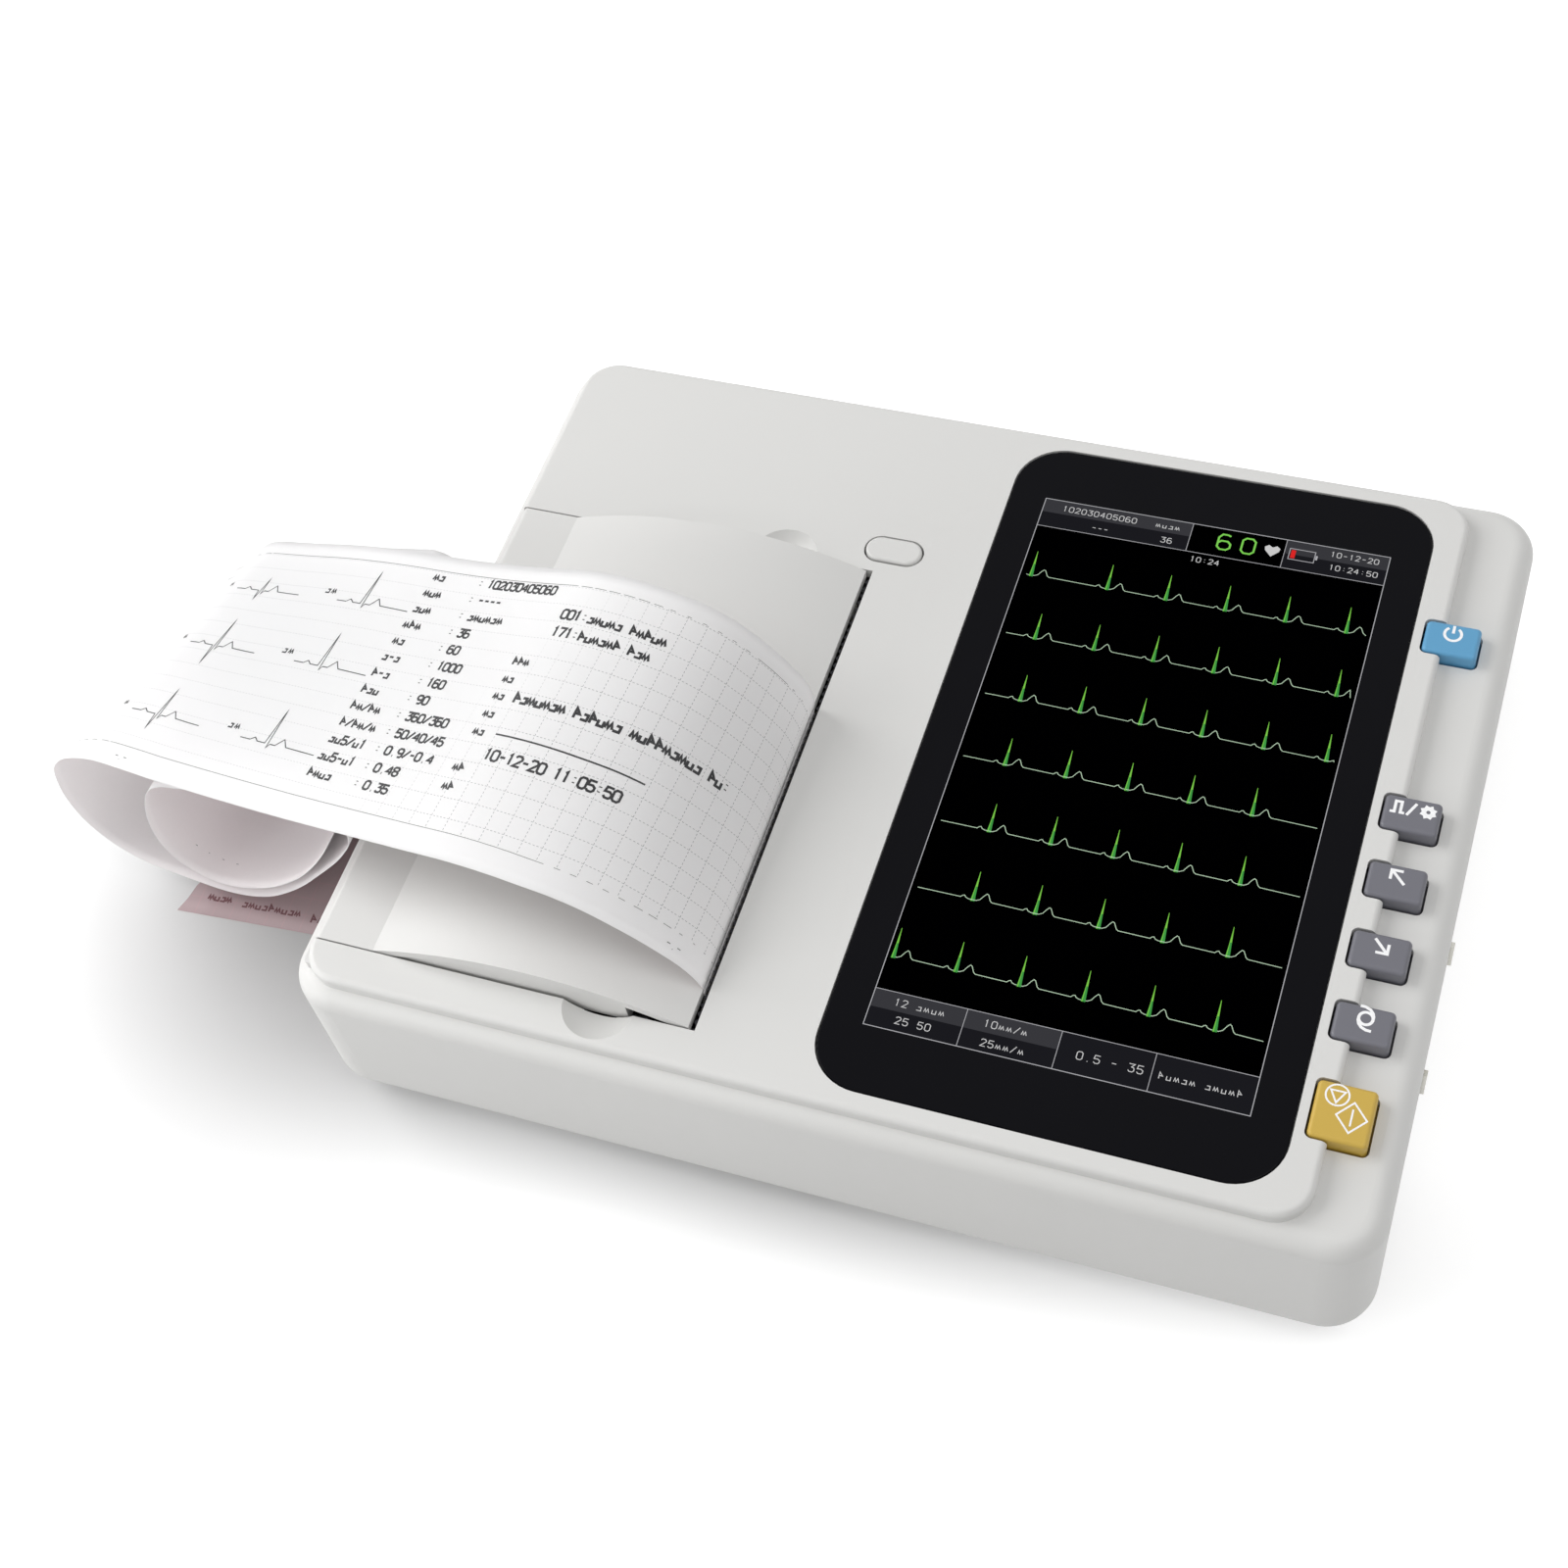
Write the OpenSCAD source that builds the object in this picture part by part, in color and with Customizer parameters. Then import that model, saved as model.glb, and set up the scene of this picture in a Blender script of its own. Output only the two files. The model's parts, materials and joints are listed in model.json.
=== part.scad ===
// Portable electrocardiograph with a portrait touch screen and an 80 mm chart printer.
// Millimetres. Origin on the table plane under the middle of the whole with its chart strip,
// X to the right, Y to the back, Z up.

/* [Case] */
// Width of the case, left to right
case_w = 254; // [251:1:270]
// Depth of the case, front to back
case_d = 204; // [202:1:216]
// Height of the deck above the table
deck_z = 53.5; // [53:0.5:58]
// Drop from the deck to the ledge round it
ledge_drop = 3.5; // [2.5:0.5:4]
// Width of the ledge at the left, front and back
ledge_w = 4; // [3:0.5:5]
// Width of the shelf to the right of the deck
shelf_w = 16; // [15:0.5:18]
// Height of the parting line between the two case halves
seam_z = 26; // [24:1:27]
// Wall of the case
wall = 2.5; // [2:0.25:3]
// Thickness of the deck
deck_wall = 3; // [2.5:0.25:3.5]
// Corner radius of the case, seen from above
corner_r = 12; // [11:0.5:14]
// Corner radius of the deck, seen from above
deck_corner_r = 9; // [7:0.5:10]
// Rounding along the upper edge of the case
ledge_r = 5; // [3:0.5:6]
// Rounding along the bottom edge of the case
base_r = 9; // [6:0.5:9.5]
// Height of the rubber feet below the case
foot_h = 3.5; // [2.5:0.5:4]
// Radius of the rubber feet
foot_r = 8; // [6:0.5:9]

/* [Screen] */
// Width of the cover glass
glass_w = 104; // [102:0.5:105]
// Depth of the cover glass
glass_d = 186.4; // [184:0.2:188]
// Thickness of the cover glass
glass_t = 1.8; // [1.2:0.1:2]
// Corner radius of the cover glass
glass_r = 12; // [8:0.5:14]
// Deck left between the glass and the shelf
glass_margin = 7.5; // [6.5:0.5:8.5]
// Width of the lit picture
view_w = 85.92; // [80:0.5:88]
// Depth of the lit picture
view_d = 154.08; // [150:0.5:156]

/* [Chart door] */
// Door, from the left edge of the deck to the paper slot
door_w = 94.4; // [93:0.2:96]
// Length of the door along the slot
door_d = 132.5; // [131:0.5:134]
// Deck left in front of the door
door_margin = 10; // [9.5:0.5:12]
// Flat strip beside the hinge
door_flat = 15.6; // [12:0.4:20]
// Rise of the arched part of the door
arch_rise = 7.5; // [6:0.5:9]
// Thickness of the door skin
skin_t = 2.2; // [1.6:0.1:2.4]
// Angle to which the door opens
door_open = 95; // [80:5:100]
// Gap round the door
door_gap = 0.4; // [0.3:0.1:0.8]

/* [Chart printer] */
// Width of the chart paper
paper_w = 80; // [76:1:80]
// Radius of the rubber platen roller
platen_r = 6; // [5.5:0.1:6.2]
// Radius of the platen shaft
shaft_r = 2; // [1.5:0.1:2.5]
// Radius of the paper roll
roll_r = 17; // [13:0.5:17.5]
// Gear module
gear_m = 0.7; // [0.65:0.01:0.75]
// Teeth on the platen gear
platen_teeth = 18; // [17:1:19]
// Teeth on the idler gear
idler_teeth = 28; // [26:1:30]
// Teeth on the motor pinion
pinion_teeth = 14; // [14:1:15]
// Radius of the stepper motor
motor_r = 12; // [10:0.5:13]

/* [Keys] */
// Key, across the shelf
key_w = 12.8; // [12:0.2:13.4]
// Grey and blue keys, along the shelf
key_d = 9.2; // [8:0.2:10]
// Print key, along the shelf
print_key_d = 13.6; // [12:0.2:15]
// Spacing of the grey keys
key_pitch = 18.3; // [17:0.1:19]
// Travel of a key
key_travel = 0.8; // [0.5:0.1:1]
// Gap round a key
key_gap = 0.5; // [0.3:0.1:0.7]

/* [Hidden] */

$fn = 96;
play = 0.3;        // gap between pieces that must not touch
fit = 0.05;        // radial clearance of a shaft in its bore
cut = 1;           // how far a cutting solid runs past the face it cuts

// Case
case_cx = 44;       // the strip that hangs over the left side puts the middle of the whole here
case_x0 = case_cx - case_w / 2;
case_x1 = case_cx + case_w / 2;
case_y0 = -case_d / 2;
case_y1 = case_d / 2;
ledge_z = deck_z - ledge_drop;
floor_z = foot_h + wall;
deck_x0 = case_x0 + ledge_w;
deck_x1 = case_x1 - shelf_w;
deck_y0 = case_y0 + ledge_w;
deck_y1 = case_y1 - ledge_w;
deck_under = deck_z - deck_wall;
shelf_under = ledge_z - wall;
deck_edge_r = 1.5;

// Screen
glass_x1 = deck_x1 - glass_margin;
glass_cx = glass_x1 - glass_w / 2;
lcd_inset = 2;      // display module inside the edge of the glass, on each side
lcd_frame = 5.2;    // metal rim of the display module in front of the picture and behind it
lcd_w = glass_w - 2 * lcd_inset;
lcd_d = view_d + 2 * lcd_frame;
lcd_t = 5.6;
lcd_z1 = deck_z - glass_t - 0.2;
lcd_z0 = lcd_z1 - lcd_t;
bracket_t = 1;
bracket_w = lcd_w - 10;
bracket_d = lcd_d + 18;
bracket_post = 5;   // bracket screws inside its sides

// Chart door and printer
slot_x = deck_x0 + door_w;
door_y0 = deck_y0 + door_margin;
door_y1 = door_y0 + door_d;
door_cy = (door_y0 + door_y1) / 2;
opening_x1 = slot_x + 1.3;
hinge_x = deck_x0 + 3.7;
hinge_z = deck_z - 2.6;
hinge_pin_r = 1;
hinge_r = 2.3;
platen_x = slot_x - 7.4;
platen_z = deck_z - 9.5;
arch_x0 = deck_x0 + door_flat;
arch_x1 = slot_x - door_gap;
arch_cx = (arch_x0 + arch_x1) / 2;
arch_half = (arch_x1 - arch_x0) / 2;
arch_r = (arch_half * arch_half + arch_rise * arch_rise) / (2 * arch_rise);
arch_cz = deck_z + arch_rise - arch_r;
end_plate_t = 1.8;
end_wall_gap = 0.4;     // walls below the ends of the arched skin, in from its edges
end_wall_z = deck_z - 4.5;
end_wall_x1 = platen_x - 8;
scoop_x = slot_x - 22;
scoop_depth = 3.7;
scoop_half = 8.5;       // half the width of a finger scoop at the deck
scoop_r = (scoop_half * scoop_half + scoop_depth * scoop_depth) / (2 * scoop_depth);
front_plate_y = door_y0 + 3.6;
rear_plate_y = door_y1 - 5.4;
platen_y0 = front_plate_y + end_plate_t + 3;
platen_y1 = rear_plate_y - 6.2;
gear_w = 3.5;
gear_y1 = rear_plate_y - 1;
paper_y0 = platen_y0 + 1;
paper_y1 = paper_y0 + paper_w;
paper_t = 0.3;
strip_step = 4;
// The strip outside the slot: length, heading of its front and rear edges, drift to the back
strip = [[0, 103, 78, 0.5], [14, 139, 121, 0.5], [28, 152, 133, 1], [50, 177, 171, 2.5],
    [80, 193, 203, 6], [120, 192, 194, 11.5], [165, 188, 203, 18], [182, 194, 202, 21],
    [196, 218, 237, 22.5], [210, 260, 217, 23], [228, 296, 276, 21.5], [248, 345, 346, 20],
    [268, 351, 369, 19.5], [288, 396, 389, 19.5], [305, 409, 406, 19.5],
    [320, 410, 417, 19.5], [334, 420, 430, 19.5], [346, 463, 463, 19.5],
    [358, 549, 552, 19.5], [398, 552, 557, 19.5], [408, 602, 605, 19.5],
    [420, 616, 616, 19.5], [429, 627, 626, 19.5], [436, 643, 643, 19.5],
    [442, 658, 658, 19.5], [449, 687, 687, 19.5], [459, 730, 732, 19.5],
    [474, 755, 755, 19.5], [492, 772, 772, 19.5], [512, 782, 782, 19.5]];
strip_n = strip[len(strip) - 1][0] / strip_step;
function strip_value(s, k) = lookup(s, [for (row = strip) [row[0], row[k]]]);
function strip_run(i) = sqrt(pow(strip_step, 2)
    - pow(strip_value((i + 1) * strip_step, 3) - strip_value(i * strip_step, 3), 2));
function strip_turn(i, k) = strip_value((i + 0.5) * strip_step, k);
function strip_edge(k) =
    [for (i = 0, x = slot_x - 0.15, z = deck_z - 0.2; i <= strip_n;
          x = x + strip_run(i) * cos(strip_turn(i, k)),
          z = z + strip_run(i) * sin(strip_turn(i, k)), i = i + 1)
        [x, z, strip_value(i * strip_step, k)]];
strip_front_xz = strip_edge(1);
strip_rear_xz = strip_edge(2);
strip_front = [for (i = [0 : strip_n])
    [strip_front_xz[i][0], paper_y0 + strip_value(i * strip_step, 3), strip_front_xz[i][1],
     strip_front_xz[i][2]]];
strip_rear = [for (i = [0 : strip_n])
    [strip_rear_xz[i][0],
     strip_front[i][1] + sqrt(pow(paper_w, 2) - pow(strip_rear_xz[i][0] - strip_front_xz[i][0], 2)
         - pow(strip_rear_xz[i][1] - strip_front_xz[i][1], 2)),
     strip_rear_xz[i][1], strip_rear_xz[i][2]]];
// One face of the strip beside an edge point, along the normal to its heading
function strip_side(p, side) =
    [p[0] - side * paper_t / 2 * sin(p[3]), p[1], p[2] + side * paper_t / 2 * cos(p[3])];

// Torn end below the curl: its front left corner, length, turn, lift and the notch of its tear
tail_x = case_x0 - 63.5;
tail_y = paper_y0 + 13;
tail_len = 54;
tail_turn = 3.5;
tail_lift = 0.6;
tail_notch = [4, 12];

// Gear train, angles in the X-Z plane
gear_gap = 0.05;
idler_dist = gear_m * (platen_teeth + idler_teeth) / 2 + gear_gap;
pinion_dist = gear_m * (idler_teeth + pinion_teeth) / 2 + gear_gap;
pinion_angle = -30;
idler_x = platen_x;
idler_z = platen_z - idler_dist;
pinion_x = idler_x + pinion_dist * cos(pinion_angle);
pinion_z = idler_z + pinion_dist * sin(pinion_angle);
platen_phase = -90;
idler_phase = 90 + 180 / idler_teeth;
idler_pitch_angle = 360 / idler_teeth;
idler_turn = pinion_angle - idler_phase;
idler_lag = idler_turn - idler_pitch_angle * floor(idler_turn / idler_pitch_angle);
pinion_phase = pinion_angle + 180 + 180 / pinion_teeth + idler_lag * idler_teeth / pinion_teeth;

// Chassis
plate_t = 1.2;
chassis_y0 = door_y0 + 1.4;
chassis_y1 = door_y1 - 1.4;
chassis_x0 = platen_x - 10;
chassis_x1 = platen_x + 27;
chassis_z0 = idler_z - gear_m * (idler_teeth + 2) / 2 - 2.2;
chassis_top = platen_z + 4;
bush_r = 4;
head_x = platen_x + platen_r + play;
head_t = 1.2;
sink_t = 5;
head_z0 = platen_z - 10;
head_z1 = platen_z + 3.4;
pivot_x = head_x + head_t + sink_t - 1;
pivot_z = head_z0 - 0.5;
pivot_r = 1.5;
spring_wall_x = head_x + head_t + sink_t + 9;
latch_x = platen_x + 10;
latch_z = platen_z - 5.5;
latch_y0 = chassis_y1 + 0.2;
latch_t = 1.3;
release_x = slot_x + 4.6;
release_y = door_y1 + 7.5;
release_w = 14.4;
release_d = 7.4;
release_travel = 1.5;
release_arm = 6;
spring_seat_z = latch_z + 3.1;

// Paper compartment
tub_t = 1.6;
tub_x0 = case_x0 + wall + 5.5;
tub_x1 = chassis_x0 - 1.2;
tub_y0 = door_y0 + 1;
tub_y1 = door_y1 - 1;
tub_z0 = floor_z + 2;
tub_top = deck_z - 8.5;
roll_x = tub_x0 + 36;
roll_z = tub_z0 + tub_t + roll_r + 1.4;
core_r = 7.5;
core_bore_r = 6;
journal_r = 3;

// Keys
key_x = deck_x1 + 1.8;
print_key_y = deck_y0 + 26.5;
rotate_key_y = print_key_y + 21.7;
down_key_y = rotate_key_y + key_pitch;
up_key_y = down_key_y + key_pitch;
mode_key_y = up_key_y + key_pitch;
power_key_y = deck_y1 - 42.2;
key_places = [power_key_y, mode_key_y, up_key_y, down_key_y, rotate_key_y, print_key_y];
key_depths = [key_d, key_d, key_d, key_d, key_d, print_key_d];
key_top = deck_z + 0.4;
key_flange_t = 1;
key_stem_z = shelf_under - play - key_flange_t - 0.7;
dome_h = 2.6;
keyboard_t = 1.6;
keyboard_z1 = key_stem_z - play - dome_h;
keyboard_w = 13.2;
key_posts = [power_key_y + 12, mode_key_y + 25, print_key_y - 11.5];

// Boards, battery and connectors
board_t = 1.6;
board_z = floor_z + 30;
board_w = 96;
board_d = 174;
battery_w = 72;
battery_d = 76;
battery_h = 19;
battery_cx = glass_cx + 4;
battery_cy = deck_y0 + 66;
cover_t = 2.2;
socket_y = print_key_y + 38.5;
socket_z = seam_z + 7.5;
socket_pocket = 5.3;
jack_pitch = 33.3;
bay_x0 = case_x0 + 19;
bay_w = 96;
bay_z0 = floor_z + 4;
bay_z1 = floor_z + 34;
bay_depth = 10;
bay_cx = bay_x0 + bay_w / 2;
bay_cz = (bay_z0 + bay_z1) / 2;
panel_t = 2;
panel_y1 = case_y1 - bay_depth;
inlet_x = bay_x0 + 20;
stud_x = bay_x0 + 45;
port_x = bay_x0 + 77;
stud_r = 3;
power_x0 = glass_cx - 46;
power_y0 = battery_cy + battery_d / 2 + 8;
power_w = 42;
power_d = 62;
power_z = floor_z + 6;
speaker_x = glass_cx + 28;
speaker_y = deck_y1 - 46;
bracket_screws = [for (sx = [-1, 1], sy = [-1, 1])
    [glass_cx + sx * (bracket_w / 2 - bracket_post), sy * (lcd_d / 2 + bracket_post)]];
screw_places = [[case_x0 + 14, case_y0 + 8], [glass_x1 - glass_w - 2, case_y0 + 8],
    [case_x1 - 11.5, case_y0 + 11.5], [case_x0 + 8.5, case_y1 - 31],
    [bay_x0 + bay_w + 8, case_y1 - 8], [case_x1 - 11.5, case_y1 - 11.5]];
boss_r = 3.5;
foot_places = [for (sx = [-1, 1], sy = [-1, 1])
    [case_cx + sx * (case_w / 2 - 22), sy * (case_d / 2 - 20)]];

// ---- Shared shapes ----

// Rectangle with round corners, centred
module rounded_rect(w, d, r) {
    square([w - 2 * r, d], center = true);
    square([w, d - 2 * r], center = true);
    for (sx = [-1, 1], sy = [-1, 1])
        translate([sx * (w / 2 - r), sy * (d / 2 - r)]) circle(r);
}

// Plate with round corners, centred on [x, y] and standing on z
module plate(x, y, z, w, d, h, r) {
    translate([x, y, z]) linear_extrude(h) rounded_rect(w, d, r);
}

// Section of a block's rim, with its own rounding below and above
module rim_section(reach, z0, z1, r_low, r_high) {
    translate([0, z0]) square([reach - max(r_low, r_high), z1 - z0]);
    translate([0, z0 + r_low]) square([reach, z1 - z0 - r_low - r_high]);
    if (r_low > 0) intersection() {
        translate([reach - r_low, z0 + r_low]) circle(r_low);
        translate([0, z0]) square([reach, z1 - z0]);
    }
    if (r_high > 0) intersection() {
        translate([reach - r_high, z1 - r_high]) circle(r_high);
        translate([0, z0]) square([reach, z1 - z0]);
    }
}

// Block with round corners in plan and rounded lower and upper edges
module soft_block(x0, x1, y0, y1, z0, z1, rc, r_low, r_high) {
    w = x1 - x0 - 2 * rc;
    d = y1 - y0 - 2 * rc;
    translate([x0 + rc, y0 + rc, z0]) cube([w, d, z1 - z0]);
    for (corner = [[x1 - rc, y1 - rc, 0], [x0 + rc, y1 - rc, 90],
                   [x0 + rc, y0 + rc, 180], [x1 - rc, y0 + rc, 270]])
        translate([corner[0], corner[1], 0]) rotate(corner[2])
            rotate_extrude(angle = 90) rim_section(rc, z0, z1, r_low, r_high);
    for (side = [[x1 - rc, y0 + rc, 0, d], [x1 - rc, y1 - rc, 90, w],
                 [x0 + rc, y1 - rc, 180, d], [x0 + rc, y0 + rc, 270, w]])
        translate([side[0], side[1], 0]) rotate(side[2])
            translate([0, side[3], 0]) rotate([90, 0, 0])
                linear_extrude(side[3]) rim_section(rc, z0, z1, r_low, r_high);
}

// Box between two corners
module box(x0, x1, y0, y1, z0, z1) {
    translate([x0, y0, z0]) cube([x1 - x0, y1 - y0, z1 - z0]);
}

// Profile drawn in X-Z, run along Y from y0 to y1
module along_y(y0, y1) {
    translate([0, y1, 0]) rotate([90, 0, 0]) linear_extrude(y1 - y0) children();
}

// Profile drawn in Y-Z, run along X from x0 to x1
module along_x(x0, x1) {
    translate([x0, 0, 0]) rotate([90, 0, 90]) linear_extrude(x1 - x0) children();
}

// Round bar along Y
module rod_y(x, z, y0, y1, r) {
    translate([x, y1, z]) rotate([90, 0, 0]) cylinder(h = y1 - y0, r = r);
}

// Round bar along X
module rod_x(y, z, x0, x1, r) {
    translate([x0, y, z]) rotate([0, 90, 0]) cylinder(h = x1 - x0, r = r);
}

// Upright post
module post(x, y, z0, z1, r) {
    translate([x, y, z0]) cylinder(h = z1 - z0, r = r);
}

// Turned helical spring of round wire, along Z
module coil(h, r, wire, turns) {
    sides = 6;
    n = turns * 12;
    rise = atan2(h / turns, 2 * PI * r);
    points = [for (i = [0 : n], k = [0 : sides - 1])
        let (a = 360 * turns * i / n, b = 360 * k / sides)
        [r * cos(a), r * sin(a), h * i / n] + wire * cos(b) * [cos(a), sin(a), 0]
          + wire * sin(b) * [sin(a) * sin(rise), -cos(a) * sin(rise), cos(rise)]];
    skin = [for (i = [0 : n - 1], k = [0 : sides - 1])
        let (m = (k + 1) % sides)
        [i * sides + k, (i + 1) * sides + k, (i + 1) * sides + m, i * sides + m]];
    ends = [[for (k = [0 : sides - 1]) k],
            [for (k = [sides - 1 : -1 : 0]) n * sides + k]];
    polyhedron(points, concat(skin, ends));
}

// Involute spur gear in the plane, with its first tooth at the given angle
function involute(base, t) =
    base * [cos(t) + t * PI / 180 * sin(t), sin(t) - t * PI / 180 * cos(t)];
function turned(p, a) = [p[0] * cos(a) - p[1] * sin(a), p[0] * sin(a) + p[1] * cos(a)];
function flank(base, tip, half, side) =
    let (t_end = sqrt(tip * tip / (base * base) - 1) * 180 / PI)
    [for (i = [0 : 4])
        let (p = involute(base, t_end * i / 4), q = [p[0], side * p[1]])
        turned(q, -side * half)];
module gear(teeth, phase, bore) {
    pitch = gear_m * teeth / 2;
    base = pitch * cos(20);
    tip = pitch + gear_m;
    root = pitch - 1.25 * gear_m;
    backlash = 0.12;
    swing = (tan(20) - 20 * PI / 180) * 180 / PI;
    half = 90 / teeth + swing - backlash / pitch * 90 / PI;
    step = 360 / teeth;
    outline = [for (k = [0 : teeth - 1])
        each [for (p = concat([root * [cos(half * 0.95), -sin(half * 0.95)]],
                       flank(base, tip, half, 1),
                       [for (i = [4 : -1 : 0]) flank(base, tip, half, -1)[i]],
                       [root * [cos(half * 0.95), sin(half * 0.95)]]))
              turned(p, phase + k * step)]];
    difference() {
        polygon(outline);
        circle(bore);
    }
}

// Thin ribbon that follows a path in the plane
function ribbon_side(path, t) = [for (i = [0 : len(path) - 1])
    let (a = path[max(i - 1, 0)], b = path[min(i + 1, len(path) - 1)],
         d = (b - a) / norm(b - a))
    path[i] + t * [-d[1], d[0]]];
module ribbon(path, t) {
    near = ribbon_side(path, t / 2);
    far = ribbon_side(path, -t / 2);
    polygon(concat(near, [for (i = [len(far) - 1 : -1 : 0]) far[i]]));
}
function arc(cx, cz, r, a0, a1, n) =
    [for (i = [0 : n]) [cx + r * cos(a0 + (a1 - a0) * i / n), cz + r * sin(a0 + (a1 - a0) * i / n)]];

// ---- Case ----

module door_opening(z0) {
    box(deck_x0 - 0.1, opening_x1, door_y0 - door_gap, door_y1 + door_gap, z0, deck_z + cut);
}

module scoop(y) {
    translate([scoop_x, y, deck_z - scoop_depth + scoop_r]) sphere(r = scoop_r);
}

// Pocket for the patient lead socket in the right wall
module socket_void() {
    box(case_x1 - socket_pocket, case_x1 + cut, socket_y - 21.5, socket_y + 21.5,
        socket_z - 7, socket_z + 7);
    along_x(case_x1 - socket_pocket - 3, case_x1)
        translate([socket_y, socket_z]) rounded_rect(25.6, 9.4, 2.4);
    for (s = [-1, 1])
        rod_x(socket_y + s * jack_pitch / 2, socket_z, case_x1 - socket_pocket - 3, case_x1, 1.6);
}

// Recess for the connectors in the back wall
module bay_void() {
    box(bay_x0, bay_x0 + bay_w, panel_y1 - 6, case_y1 + cut, bay_z0, bay_z1);
}
module bay_walls(z0, z1) {
    intersection() {
        box(bay_x0 - 2, bay_x0 + bay_w + 2, panel_y1, case_y1 - 1, bay_z0 - 2, bay_z1 + 2);
        box(case_x0, case_x1, case_y0, case_y1, z0, z1);
    }
}

module top_case() color("gainsboro") difference() {
    union() {
        difference() {
            union() {
                soft_block(case_x0, case_x1, case_y0, case_y1, seam_z, ledge_z,
                           corner_r, 0, ledge_r);
                soft_block(deck_x0, deck_x1, deck_y0, deck_y1, ledge_z - 6, deck_z,
                           deck_corner_r, 0, deck_edge_r);
            }
            soft_block(case_x0 + wall, case_x1 - wall, case_y0 + wall, case_y1 - wall,
                       seam_z - cut, shelf_under, corner_r - wall, 0, ledge_r - wall);
            plate((deck_x0 + deck_x1) / 2, (deck_y0 + deck_y1) / 2, shelf_under - cut,
                  deck_x1 - deck_x0 - 2 * wall, deck_y1 - deck_y0 - 2 * wall,
                  deck_under - shelf_under + cut, deck_corner_r - wall);
        }
        // Bowls of the finger scoops
        for (y = [door_y0 - 5.2, door_y1 + 5.2])
            plate(scoop_x, y, deck_z - 7, 22, 9.4, 6, 2);
        // Ears that hold the ends of the hinge pin
        for (y = [door_y0 - 3.5, door_y1 + 3.5])
            plate(hinge_x, y, hinge_z - 3.2, 7, 6, 5, 1);
        // Screw bosses
        for (p = screw_places)
            post(p[0], p[1], seam_z + play, p[0] > deck_x1 ? shelf_under + 0.5 : deck_under, boss_r);
        // Posts of the display bracket and of the key board
        for (p = bracket_screws) post(p[0], p[1], lcd_z0 - 0.2, deck_under + 0.5, 3);
        for (y = key_posts)
            post(key_x, y, keyboard_z1, shelf_under + 0.5, 2.4);
        // Bridge that the release spring stands on
        box(release_x - 12, release_x + 12, release_y - 4, release_y + 4,
            spring_seat_z - 1.4, spring_seat_z);
        for (x = [release_x - 12, release_x + 10])
            box(x, x + 2, release_y - 4, release_y + 4, spring_seat_z - 1.4, deck_under + 0.5);
        // Housing of the lead socket
        box(case_x1 - socket_pocket - 2, case_x1 - 1, socket_y - 23.5, socket_y + 23.5,
            socket_z - 7.4, socket_z + 9);
        bay_walls(seam_z, deck_z);
    }
    door_opening(ledge_z - 10);
    for (y = [door_y0, door_y1]) scoop(y);
    // Seat of the cover glass and window of the display
    plate(glass_cx, 0, deck_z - glass_t - 0.1, glass_w + 0.6, glass_d + 0.6, 5, glass_r + 0.3);
    plate(glass_cx, 0, deck_under - cut, lcd_w + 1, lcd_d + 1, 5, 1);
    // Key openings
    for (k = [0 : 5])
        plate(key_x, key_places[k], shelf_under - 3, key_w + 2 * key_gap,
              key_depths[k] + 2 * key_gap, 12, 1.6);
    // Opening of the door release
    plate(release_x, release_y, deck_under - cut, release_w + 1, release_d + 1, 6,
          release_d / 2 + 0.45);
    post(latch_x + release_arm, release_y, spring_seat_z - 3, spring_seat_z + cut, 2.1);
    socket_void();
    bay_void();
    // Bores of the hinge pin
    for (y = [door_y0 - 5.8, door_y1])
        rod_y(hinge_x, hinge_z, y, y + 5.8, hinge_pin_r + fit);
    // Rebate for the lip of the lower half
    difference() {
        soft_block(case_x0 + wall / 2, case_x1 - wall / 2, case_y0 + wall / 2,
                   case_y1 - wall / 2, seam_z - cut, seam_z + 1.8, corner_r - wall / 2, 0, 0);
        soft_block(case_x0 + wall, case_x1 - wall, case_y0 + wall, case_y1 - wall,
                   seam_z - 2 * cut, seam_z + 2, corner_r - wall, 0, 0);
    }
    // Pilot holes of the case screws
    for (p = screw_places) post(p[0], p[1], seam_z - cut, seam_z + 14, 1.25);
}

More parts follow.
